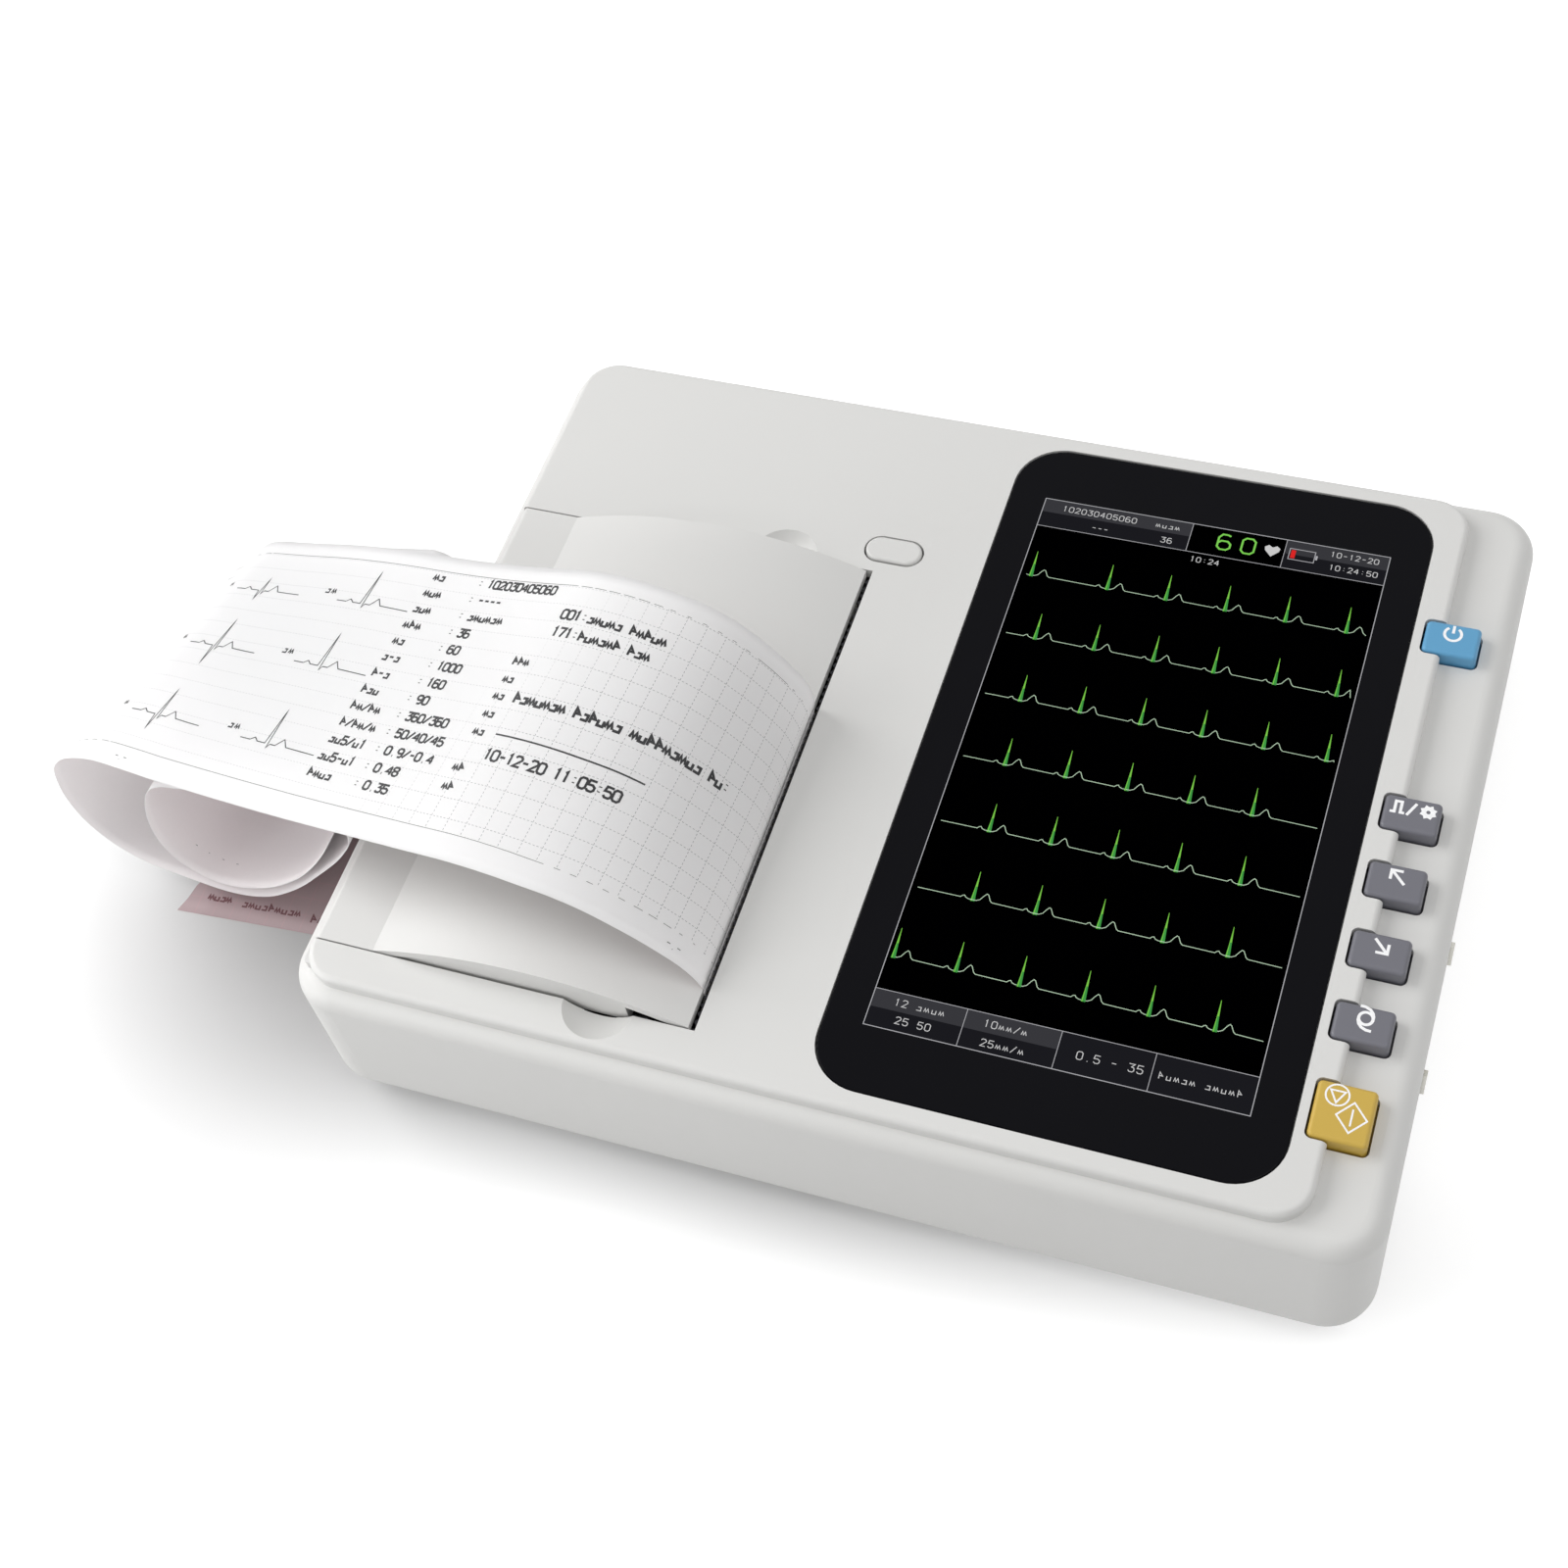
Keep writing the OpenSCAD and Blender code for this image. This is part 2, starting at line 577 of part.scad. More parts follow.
module bottom_case() color("gainsboro") difference() {
    union() {
        difference() {
            soft_block(case_x0, case_x1, case_y0, case_y1, foot_h, seam_z,
                       corner_r, base_r, 0);
            soft_block(case_x0 + wall, case_x1 - wall, case_y0 + wall, case_y1 - wall,
                       floor_z, seam_z + cut, corner_r - wall, base_r - wall, 0);
        }
        // Lip that locates the upper half
        difference() {
            soft_block(case_x0 + wall / 2 + 0.1, case_x1 - wall / 2 - 0.1,
                       case_y0 + wall / 2 + 0.1, case_y1 - wall / 2 - 0.1,
                       seam_z - 3, seam_z + 1.5, corner_r - wall / 2 - 0.1, 0, 0);
            soft_block(case_x0 + wall, case_x1 - wall, case_y0 + wall, case_y1 - wall,
                       seam_z - 4, seam_z + 2, corner_r - wall, 0, 0);
        }
        for (p = screw_places) post(p[0], p[1], foot_h, seam_z, boss_r + 0.5);
        // Battery well
        plate(battery_cx, battery_cy, floor_z - 1, battery_w + 6, battery_d + 6,
              battery_h + 1.5, 3);
        // Seats of the feet
        for (p = foot_places) post(p[0], p[1], floor_z - 1, floor_z + 1, foot_r + 1.5);
        // Posts of the main board
        for (sx = [-1, 1], sy = [-1, 1])
            post(glass_cx + sx * (board_w / 2 - 5), sy * (board_d / 2 - 5),
                 floor_z - 1, board_z, 3.2);
        // Posts of the power board
        for (dx = [5, power_w - 5], dy = [5, power_d - 5])
            post(power_x0 + dx, power_y0 + dy, floor_z - 1, power_z, 3);
        // Pads of the paper tub and posts of the printer chassis
        for (x = [tub_x0 + 10, tub_x1 - 10], y = [tub_y0 + 12, tub_y1 - 12])
            post(x, y, floor_z - 1, tub_z0, 5);
        for (x = [chassis_x0 + 6, chassis_x1 - 6], y = [chassis_y0 + 10, chassis_y1 - 24])
            post(x, y, floor_z - 1, chassis_z0, 3.5);
        // Ring round the loudspeaker
        post(speaker_x, speaker_y, floor_z - 1, floor_z + 4, 20);
        bay_walls(0, seam_z);
    }
    for (p = screw_places) {
        post(p[0], p[1], 0, seam_z - 8, 3.2);
        post(p[0], p[1], 0, seam_z + cut, 1.7);
    }
    plate(battery_cx, battery_cy, 0, battery_w + 1, battery_d + 1, 60, 1.5);
    plate(battery_cx, battery_cy, 0, battery_w + 9, battery_d + 9, foot_h + cover_t, 3);
    for (p = foot_places) post(p[0], p[1], 0, foot_h + 1, foot_r + 0.2);
    post(speaker_x, speaker_y, floor_z, floor_z + 8, 18.3);
    for (i = [-4 : 4])
        box(speaker_x - 12 + abs(i), speaker_x + 12 - abs(i), speaker_y - 0.8 + 3 * i,
            speaker_y + 0.8 + 3 * i, 0, floor_z + 2);
    // Vents below the power board
    for (i = [0 : 7])
        box(power_x0 + 2.5 + 5 * i, power_x0 + 4.5 + 5 * i, power_y0 + 14, power_y0 + 48,
            0, floor_z + 2);
    bay_void();
    for (dx = [5, power_w - 5], dy = [5, power_d - 5])
        post(power_x0 + dx, power_y0 + dy, power_z - 5, power_z + cut, 1.1);
    for (sx = [-1, 1], sy = [-1, 1])
        post(glass_cx + sx * (board_w / 2 - 5), sy * (board_d / 2 - 5), board_z - 8,
             board_z + cut, 1.1);
}

module rear_panel() color("dimgray") difference() {
    box(bay_x0 - 1.6, bay_x0 + bay_w + 1.6, panel_y1 - panel_t, panel_y1 - 0.1,
        bay_z0 - 1.6, bay_z1 + 1.6);
    along_y(panel_y1 - 6, panel_y1 + 6) translate([inlet_x, bay_cz]) rounded_rect(27.6, 20.2, 3);
    rod_y(stud_x, bay_cz, panel_y1 - 6, panel_y1 + 6, stud_r + 0.2);
    box(port_x - 8.2, port_x + 8.2, panel_y1 - 6, panel_y1 + 6, bay_cz - 6.9, bay_cz + 7.1);
    box(port_x - 24.9, port_x - 10.5, panel_y1 - 6, panel_y1 + 6, bay_cz - 6.9, bay_cz + 8.6);
}

module rubber_feet() color("darkslategray") for (p = foot_places)
    translate([p[0], p[1], 0]) {
        cylinder(h = 1, r1 = foot_r - 1, r2 = foot_r);
        translate([0, 0, 1]) cylinder(h = foot_h, r = foot_r);
    }

module case_screws() color("silver") for (p = screw_places) {
    post(p[0], p[1], seam_z - 10.5, seam_z - 8, 2.9);
    post(p[0], p[1], seam_z - 8, seam_z + 10, 1.2);
}

// ---- Screen ----

module screen_glass() color([0.03, 0.03, 0.04])
    soft_block(glass_x1 - glass_w, glass_x1, -glass_d / 2, glass_d / 2, deck_z - glass_t - 0.1,
               deck_z - 0.1, glass_r, 0, 0.4);

module lcd_panel() color("slategray") difference() {
    plate(glass_cx, 0, lcd_z0, lcd_w, lcd_d, lcd_t, 0.6);
    plate(glass_cx, 0, lcd_z1 - 0.8, view_w + 1, view_d + 1, cut, 0.2);
}

module lcd_bracket() color("silver") difference() {
    plate(glass_cx, 0, lcd_z0 - 0.2 - bracket_t, bracket_w, bracket_d, bracket_t, 3);
    plate(glass_cx, 0, lcd_z0 - 10, bracket_w - 20, bracket_d - 42, 20, 3);
    for (p = bracket_screws) post(p[0], p[1], lcd_z0 - 10, lcd_z0 + 10, 1.5);
}

// ---- Boards ----

module main_board() color("darkgreen") difference() {
    plate(glass_cx, 0, board_z, board_w, board_d, board_t, 2);
    for (sx = [-1, 1], sy = [-1, 1])
        post(glass_cx + sx * (board_w / 2 - 5), sy * (board_d / 2 - 5), 0, 60, 1.6);
}

module board_parts() color([0.16, 0.16, 0.18]) {
    top = board_z + board_t;
    plate(glass_cx - 14, 24, top, 26, 26, 1.6, 1);
    plate(glass_cx + 18, 40, top, 14, 20, 1.2, 0.5);
    plate(glass_cx + 18, 12, top, 14, 20, 1.2, 0.5);
    plate(glass_cx - 36, -6, top, 6, 30, 3.4, 0.5);
    plate(glass_cx + 41, 40, top, 6, 24, 3.4, 0.5);
    plate(glass_cx - 20, 66, top, 36, 7, 3.6, 0.6);
    for (i = [0 : 3]) post(glass_cx - 34 + 11 * i, 48, top, top + 4.6, 3.6);
}

module shield_can() color("silver") difference() {
    shield_y = 46 - board_d / 2;
    plate(glass_cx + 18, shield_y, board_z + board_t, 50, 46, 4.4, 1);
    plate(glass_cx + 18, shield_y, board_z + board_t - cut, 49, 45, 5, 0.5);
}

module clock_cell() color("lightgray")
    post(glass_cx - 30, -44, board_z + board_t, board_z + board_t + 3.2, 10);

module keypad_board() color("darkgreen") difference() {
    box(key_x - keyboard_w / 2, key_x + keyboard_w / 2, print_key_y - 15, power_key_y + 15,
        keyboard_z1 - keyboard_t, keyboard_z1);
    for (y = key_posts)
        post(key_x, y, 0, 60, 1.2);
}

module keypad_domes() color("whitesmoke") for (y = key_places)
    translate([key_x, y, keyboard_z1]) {
        cylinder(h = 0.8, r = 4.2);
        cylinder(h = dome_h, r1 = 3.6, r2 = 2);
    }

module power_board() color("darkgreen") difference() {
    box(power_x0, power_x0 + power_w, power_y0, power_y0 + power_d, power_z, power_z + board_t);
    for (dx = [5, power_w - 5], dy = [5, power_d - 5])
        post(power_x0 + dx, power_y0 + dy, 0, deck_z, 1.3);
}

module power_parts() {
    top = power_z + board_t;
    // Transformer, reservoir capacitors, finned heat sink and relay
    color("khaki") box(power_x0 + 10, power_x0 + 34, power_y0 + 24, power_y0 + 44, top, top + 17);
    color("darkslateblue") for (x = [14, 29])
        post(power_x0 + x, power_y0 + 10, top, top + 19, 6);
    color("silver") box(power_x0 + 2, power_x0 + 5, power_y0 + 13, power_y0 + 49, top, top + 15);
    color("silver") for (i = [0 : 5])
        box(power_x0 + 2, power_x0 + 8, power_y0 + 13 + 7 * i, power_y0 + 14 + 7 * i,
            top, top + 15);
    color("black") box(power_x0 + 12, power_x0 + 30, power_y0 + 48, power_y0 + 58, top, top + 12);
}

module battery_pack() color("steelblue")
    soft_block(battery_cx - battery_w / 2, battery_cx + battery_w / 2,
               battery_cy - battery_d / 2, battery_cy + battery_d / 2,
               foot_h + cover_t, foot_h + cover_t + battery_h, 4, 2, 2);

module battery_cover() color("gainsboro") difference() {
    plate(battery_cx, battery_cy, foot_h, battery_w + 8.4, battery_d + 8.4, cover_t - 0.05, 2.7);
    for (i = [0 : 5])
        box(battery_cx - 12, battery_cx + 12, battery_cy - 30 + 3 * i, battery_cy - 28.6 + 3 * i,
            foot_h - cut, foot_h + 0.7);
}

module speaker() color("black") {
    post(speaker_x, speaker_y, floor_z, floor_z + 2.2, 18);
    post(speaker_x, speaker_y, floor_z + 2.2, floor_z + 6.5, 9);
}

// ---- Chart printer ----

module tub_profile() {
    translate([tub_x0, tub_z0]) {
        square([tub_x1 - tub_x0, tub_t]);
        square([tub_t, tub_top - tub_z0]);
    }
    translate([tub_x1 - tub_t, tub_z0]) square([tub_t, roll_z - tub_z0 + 6]);
    // Hollow fillets under the roll
    for (side = [0, 1]) translate([side ? tub_x1 - 6 : tub_x0, tub_z0])
        difference() {
            square(6);
            translate([side ? 0 : 6, 6]) circle(6 - tub_t);
            if (side) translate([-1, tub_t]) square([1 + 0.01, 6]);
        }
}

module paper_tub() color("dimgray") {
    difference() {
        along_y(tub_y0, tub_y1) tub_profile();
    }
    for (y = [tub_y0, tub_y1 - tub_t])
        box(tub_x0, tub_x1, y, y + tub_t, tub_z0, roll_z + 4);
    // Open bearings of the spindle
    for (y = [tub_y0 + tub_t, tub_y1 - tub_t - 2]) difference() {
        box(roll_x - 9, roll_x + 9, y, y + 2, tub_z0, roll_z + 6);
        rod_y(roll_x, roll_z, y - cut, y + 3, journal_r + fit);
        box(roll_x - journal_r - fit, roll_x + journal_r + fit, y - cut, y + 3,
            roll_z, roll_z + 10);
    }
}

module roll_spindle() color("whitesmoke") {
    rod_y(roll_x, roll_z, tub_y0 + tub_t + 0.3, tub_y1 - tub_t - 0.3, journal_r);
    rod_y(roll_x, roll_z, paper_y0 - 0.5, paper_y1 + 3, core_bore_r - 0.1);
    rod_y(roll_x, roll_z, paper_y0 - 1.9, paper_y0 - 0.3, roll_r - 3);
    rod_y(roll_x, roll_z, paper_y1 + 0.3, paper_y1 + 1.9, roll_r - 3);
}

module roll_core() color("burlywood") difference() {
    rod_y(roll_x, roll_z, paper_y0, paper_y1, core_r);
    rod_y(roll_x, roll_z, paper_y0 - cut, paper_y1 + cut, core_bore_r);
}

module paper_roll() color("white") difference() {
    rod_y(roll_x, roll_z, paper_y0, paper_y1, roll_r);
    rod_y(roll_x, roll_z, paper_y0 - cut, paper_y1 + cut, core_r);
}

// Open notch for a platen bush, wider at its mouth
module bush_notch() {
    r = bush_r + fit;
    translate([platen_x, platen_z]) circle(r);
    translate([platen_x, platen_z]) polygon([[-r, 0], [r, 0], [r + 1.5, 8], [-r - 1, 8]]);
}

module printer_chassis() color("lightsteelblue") {
    difference() {
        box(chassis_x0, chassis_x1, chassis_y0, chassis_y1, chassis_z0, chassis_z0 + plate_t);
        box(pinion_x - 9, pinion_x + 9, chassis_y1 - 12, chassis_y1 - plate_t,
            chassis_z0 - cut, chassis_z0 + 3);
    }
    for (y = [chassis_y0, chassis_y1 - plate_t]) along_y(y, y + plate_t) difference() {
        translate([chassis_x0, chassis_z0]) square([chassis_x1 - chassis_x0, chassis_top - chassis_z0]);
        bush_notch();
        translate([pivot_x, pivot_z]) circle(pivot_r);
        translate([idler_x, idler_z]) circle(1.5);
        if (y > 0) translate([pinion_x, pinion_z]) circle(4);
        if (y > 0) translate([latch_x, latch_z]) circle(1.5);
    }
    // Wall that backs the head springs
    box(spring_wall_x, spring_wall_x + plate_t, chassis_y0 + 6, chassis_y1 - 14,
        chassis_z0, chassis_top - 0.5);
}

module head_pivot() color("silver")
    rod_y(pivot_x, pivot_z, chassis_y0 - 0.6, chassis_y1, pivot_r);

module print_head() color("wheat")
    box(head_x, head_x + head_t, platen_y0 - 1, platen_y1 + 1, head_z0, head_z1);

module head_sink() color("silver") difference() {
    union() {
        box(head_x + head_t, head_x + head_t + sink_t, platen_y0 - 1, platen_y1 + 1,
            head_z0, head_z1 - 1);
        rod_y(pivot_x, pivot_z, platen_y0 - 1, platen_y1 + 1, pivot_r + 1.3);
    }
    rod_y(pivot_x, pivot_z, platen_y0 - 2, platen_y1 + 2, pivot_r + fit);
    for (i = [0 : 13])
        box(head_x + head_t + 2.5, head_x + 10, platen_y0 + 4 + 8 * i, platen_y0 + 8 + 8 * i,
            head_z0 + 2, head_z0 + 8);
}

module head_springs() color("silver")
    for (y = [platen_y0 + 16, (platen_y0 + platen_y1) / 2, platen_y1 - 16])
        translate([head_x + head_t + sink_t + 0.5, y, head_z0 + 10]) rotate([0, 90, 0])
            coil(spring_wall_x - head_x - head_t - sink_t - 1, 2.4, 0.35, 4);

module tear_bar() color([0.1, 0.1, 0.1]) {
    pitch = 2.2;
    count = floor((door_d - 2) / pitch);
    depth = 0.9;
    root = slot_x + 1.1;
    translate([0, 0, deck_z - 1.5]) linear_extrude(0.8) polygon(concat(
        [for (i = [0 : count - 1]) each
            [[root, door_y0 + 1 + i * pitch], [root - depth, door_y0 + 1 + (i + 0.5) * pitch]]],
        [[root, door_y0 + 1 + count * pitch], [opening_x1 - 0.05, door_y0 + 1 + count * pitch],
         [opening_x1 - 0.05, door_y0 + 1]]));
    box(opening_x1 - 0.35, opening_x1 - 0.05, door_y0 + 1, door_y0 + 1 + count * pitch,
        deck_z - 5, deck_z - 0.7);
}

module motor() color("gray") difference() {
    union() {
        rod_y(pinion_x, pinion_z, chassis_y1 + 0.05, chassis_y1 + 15, motor_r);
        rod_y(pinion_x, pinion_z, chassis_y1 - plate_t, chassis_y1 + 1, 3.9);
    }
    rod_y(pinion_x, pinion_z, chassis_y1 - 4, chassis_y1 + 10, 1 + fit);
}

module idler_pin() color("silver")
    rod_y(idler_x, idler_z, gear_y1 - gear_w - 1, chassis_y1, 1.5);

module latch_pin() color("silver")
    rod_y(latch_x, latch_z, chassis_y1 - plate_t, latch_y0 + latch_t + 0.8, 1.5);

module gear_body(x, z, teeth, phase, bore, y1) {
    translate([x, 0, z]) along_y(y1 - gear_w, y1) gear(teeth, phase, bore);
}

module platen_gear() color("ivory")
    gear_body(platen_x, platen_z, platen_teeth, platen_phase, shaft_r, gear_y1);

module idler_gear() color("ivory")
    gear_body(idler_x, idler_z, idler_teeth, idler_phase, 1.5 + fit, gear_y1);

module motor_pinion() {
    color("goldenrod")
        gear_body(pinion_x, pinion_z, pinion_teeth, pinion_phase, 0.8, gear_y1);
    color("silver") rod_y(pinion_x, pinion_z, gear_y1 - gear_w - 0.5, chassis_y1 + 9.5, 1);
}

module platen_roller() color([0.12, 0.12, 0.12]) difference() {
    rod_y(platen_x, platen_z, platen_y0, platen_y1, platen_r);
    rod_y(platen_x, platen_z, platen_y0 - cut, platen_y1 + cut, shaft_r);
}

module platen_shaft() color("silver")
    rod_y(platen_x, platen_z, chassis_y0 + 0.1, latch_y0 + latch_t, shaft_r);

module platen_bushes() color([0.1, 0.1, 0.1])
    for (span = [[chassis_y0 + 0.1, front_plate_y + end_plate_t],
                 [rear_plate_y, chassis_y1 - 0.1]])
        difference() {
            rod_y(platen_x, platen_z, span[0], span[1], bush_r);
            rod_y(platen_x, platen_z, span[0] - cut, span[1] + cut, shaft_r + fit);
        }

module chart_web() color("white") {
    wrap = platen_r + play / 2 + 0.01;
    lift = roll_r + 0.3;
    path = concat(arc(roll_x, roll_z, lift, 100, 72, 4),
                  arc(platen_x, platen_z, wrap, 261, 360, 14),
                  [[platen_x + wrap, head_z1 + play], [slot_x - 0.15, deck_z - 2.4],
                   [slot_x - 0.15, deck_z - 0.7]]);
    along_y(paper_y0, paper_y1) ribbon(path, 0.12);
}

module chart_paper() color("white") {
    last = len(strip_front) - 1;
    corners = [for (i = [0 : last])
        for (p = [strip_side(strip_front[i], 1), strip_side(strip_rear[i], 1),
                  strip_side(strip_rear[i], -1), strip_side(strip_front[i], -1)]) p];
    // Both faces of the strip are split along the same diagonal, so that they stay paper_t apart
    sides = [for (i = [0 : last - 1], j = [0 : 3])
        let (a = 4 * i + j, b = 4 * i + (j + 1) % 4)
        for (t = j == 2 ? [[a, b, b + 4], [a, b + 4, a + 4]]
                        : [[a, b, a + 4], [b, b + 4, a + 4]]) t];
    ends = [[2, 1, 0], [3, 2, 0],
            [4 * last, 4 * last + 1, 4 * last + 2], [4 * last, 4 * last + 2, 4 * last + 3]];
    polyhedron(points = corners, faces = concat(sides, ends));
    // Torn end that lies on the table below the curl
    translate([tail_x, tail_y, 0]) rotate([tail_lift, 0, tail_turn]) linear_extrude(paper_t)
        polygon([[0, 0], [tail_len, 0], [tail_len, paper_w], [0, paper_w], tail_notch]);
}

// ---- Chart door ----

// Outline of the door in X-Z, moved in by an inset
module door_profile(inset) {
    x0 = deck_x0 + door_gap + inset;
    z1 = deck_z - inset;
    translate([x0 + deck_edge_r, hinge_z - 2]) square([arch_x0 + 3 - x0 - deck_edge_r, z1 - hinge_z + 2]);
    translate([x0, hinge_z - 2]) square([5, z1 - hinge_z + 2 - deck_edge_r]);
    translate([x0 + deck_edge_r, z1 - deck_edge_r]) circle(deck_edge_r);
    intersection() {
        translate([arch_cx, arch_cz]) circle(arch_r - inset, $fn = 360);
        translate([arch_x0 - 0.5, hinge_z - 2]) square([arch_x1 - arch_x0 + 0.5 - inset, 40]);
    }
}

module door_skin() color("gainsboro") difference() {
    union() {
        along_y(door_y0, door_y1) difference() {
            door_profile(0);
            // Hollow under the skin, right of the hinge
            intersection() {
                door_profile(skin_t);
                translate([hinge_x, hinge_z - 10]) square([door_w, 40]);
            }
            translate([hinge_x, hinge_z - 10]) square([door_w, deck_z - skin_t - hinge_z + 10]);
        }
        // Walls that close the two ends of the arch
        for (y = [door_y0 + end_wall_gap, door_y1 - end_wall_gap - skin_t])
            along_y(y, y + skin_t) intersection() {
                door_profile(skin_t / 2);
                translate([arch_x0, end_wall_z]) square([end_wall_x1 - arch_x0, 40]);
            }
        for (span = [[0, 30], [51, 81], [102, door_d]])
            rod_y(hinge_x, hinge_z, door_y0 + span[0], door_y0 + span[1], hinge_r);
    }
    rod_y(hinge_x, hinge_z, door_y0 - cut, door_y1 + cut, hinge_pin_r + fit);
}

module door_frame() color([0.13, 0.13, 0.14]) {
    low = tub_top + 2.2;
    for (y = [front_plate_y, rear_plate_y]) along_y(y, y + end_plate_t) difference() {
        union() {
            intersection() {
                door_profile(skin_t);
                translate([hinge_x + 3.4, low]) square([platen_x - hinge_x, 40]);
            }
            translate([platen_x, platen_z]) circle(bush_r + 2.2);
            translate([platen_x - bush_r - 2.2, platen_z]) square([2 * bush_r + 4.4, low - platen_z + 2]);
        }
        translate([platen_x, platen_z]) circle(bush_r);
    }
    // Ribs between the end plates
    for (x = [arch_x0 + 6, arch_cx, platen_x - 14])
        along_y(front_plate_y + end_plate_t / 2, rear_plate_y + end_plate_t / 2) intersection() {
            door_profile(skin_t);
            translate([x - 1, deck_z - 4]) square([2, 40]);
        }
}

module hinge_pin() color("silver")
    rod_y(hinge_x, hinge_z, door_y0 - 5.2, door_y1 + 5.2, hinge_pin_r);

// ---- Door release ----

module latch_lever() color("dimgray") {
    hook_z = platen_z + shaft_r + play;
    hook_x = platen_x + shaft_r - 0.8;
    hook_t = 1.9;
    tip_x = latch_x + release_arm;
    along_y(latch_y0, latch_y0 + latch_t) difference() {
        union() {
            translate([latch_x, latch_z]) circle(3.2);
            translate([hook_x + 3.8, latch_z]) square([latch_x + 1 - hook_x - 3.8, hook_z + hook_t - latch_z]);
            translate([hook_x, hook_z]) square([latch_x + 1 - hook_x, hook_t]);
            translate([latch_x, latch_z - 1.6]) square([release_arm + 1.2, 3.2]);
        }
        translate([latch_x, latch_z]) circle(1.5 + fit);
    }
    // Pin that the release button pushes down
    rod_y(tip_x, latch_z, latch_y0 + latch_t, release_y + 3, 1.5);
}

module release_button() color("gainsboro") {
    cap_z0 = deck_under - fit;
    soft_block(release_x - release_w / 2, release_x + release_w / 2, release_y - release_d / 2,
               release_y + release_d / 2, cap_z0, deck_z + 0.6, release_d / 2 - 0.01, 0, 0.8);
    plate(release_x, release_y, cap_z0 - 1, release_w + 3, release_d + 3, 1, 4);
    post(latch_x + release_arm, release_y, latch_z + 1.5 + play, cap_z0, 1.8);
}

module release_spring() color("silver")
    translate([latch_x + release_arm, release_y, spring_seat_z + 0.3])
        coil(deck_under - fit - 1.6 - spring_seat_z, 2.6, 0.3, 4);

// ---- Keys ----

module key(k) {
    d = key_depths[k];
    y = key_places[k];
    soft_block(key_x - key_w / 2, key_x + key_w / 2, y - d / 2, y + d / 2,
               shelf_under - play, key_top, 1.2, 0, 1);
    plate(key_x, y, shelf_under - play - key_flange_t, key_w + 2.6, d + 2.6, key_flange_t, 1.6);
    post(key_x, y, key_stem_z, shelf_under - play, 2.2);
}

module key_power() color("steelblue") key(0);
module key_mode() color("slategray") key(1);
module key_up() color("slategray") key(2);
module key_down() color("slategray") key(3);
module key_rotate() color("slategray") key(4);
module key_print() color("goldenrod") key(5);

// ---- Connectors ----

// Outline of the lead socket: a trapezium with round corners, centred
module d_outline(w, h, r) {
    a = w / 2 - r;
    b = a - 1.2;
    c = h / 2 - r;
    slant = atan2(a - b, 2 * c);
    out = r * [cos(slant), -sin(slant)];
    polygon([[-a, c + r], [a, c + r], [a, c] + out, [b, -c] + out, [b, -c - r], [-b, -c - r],
             [-b - out[0], -c + out[1]], [-a - out[0], c + out[1]]]);
    for (s = [-1, 1]) {
        translate([s * a, c]) circle(r);
        translate([s * b, -c]) circle(r);
    }
}

module lead_socket() color("silver") {
    floor_x = case_x1 - socket_pocket;
    difference() {
        union() {
            along_x(floor_x, floor_x + 0.8) translate([socket_y, socket_z]) rounded_rect(39.1, 12.5, 1.5);
            along_x(floor_x - 10, floor_x + 5) translate([socket_y, socket_z]) d_outline(24.8, 8.6, 2);
        }
        along_x(floor_x + 1, floor_x + 8) translate([socket_y, socket_z]) d_outline(23.8, 7.6, 1.6);
        for (s = [-1, 1]) rod_x(socket_y + s * jack_pitch / 2, socket_z, floor_x - cut, floor_x + 2, 1.6);
    }
}

module socket_pins() color("gold") {
    floor_x = case_x1 - socket_pocket;
    for (i = [0 : 7]) rod_x(socket_y - 9.7 + 2.77 * i, socket_z + 1.42, floor_x + 1, floor_x + 4.4, 0.5);
    for (i = [0 : 6]) rod_x(socket_y - 8.3 + 2.77 * i, socket_z - 1.42, floor_x + 1, floor_x + 4.4, 0.5);
}

module jack_screws() color("silver") {
    floor_x = case_x1 - socket_pocket;
    for (s = [-1, 1]) difference() {
        union() {
            translate([floor_x + 0.8, socket_y + s * jack_pitch / 2, socket_z]) rotate([0, 90, 0])
                cylinder(h = 5.4, r = 2.7, $fn = 6);
            rod_x(socket_y + s * jack_pitch / 2, socket_z, floor_x - 4, floor_x + 1, 1.4);
        }
        rod_x(socket_y + s * jack_pitch / 2, socket_z, floor_x + 1.5, floor_x + 8, 1.25);
    }
}

// Outline of the mains plug, with its two upper corners cut off
module plug_outline() {
    w = 24.4;
    h = 16.4;
    c = 4.5;
    polygon([[-w / 2, -h / 2], [w / 2, -h / 2], [w / 2, h / 2 - c], [w / 2 - c, h / 2],
             [c - w / 2, h / 2], [-w / 2, h / 2 - c]]);
}

module mains_inlet() color([0.08, 0.08, 0.08]) difference() {
    union() {
        along_y(panel_y1 - 22, panel_y1 + 1) translate([inlet_x, bay_cz]) rounded_rect(27.2, 19.8, 2);
        along_y(panel_y1, panel_y1 + 2.6) translate([inlet_x, bay_cz]) rounded_rect(31, 23.6, 3);
    }
    along_y(panel_y1 - 14, panel_y1 + 4) translate([inlet_x, bay_cz]) plug_outline();
}

module inlet_blades() color("silver") for (p = [[-7, -1.6], [7, -1.6], [0, 2.4]])
    along_y(panel_y1 - 14, panel_y1 - 1) translate([inlet_x + p[0], bay_cz + p[1]])
        square([2, 4], center = true);

module earth_stud() color("silver") {
    rod_y(stud_x, bay_cz, panel_y1 - 8, panel_y1 + 9, stud_r);
    rod_y(stud_x, bay_cz, panel_y1, panel_y1 + 1, 5.5);
}

module port_board() color("darkgreen")
    box(port_x - 26, port_x + 10, panel_y1 - 26, panel_y1 - panel_t - 0.3, bay_cz - 8.8, bay_cz - 7.2);

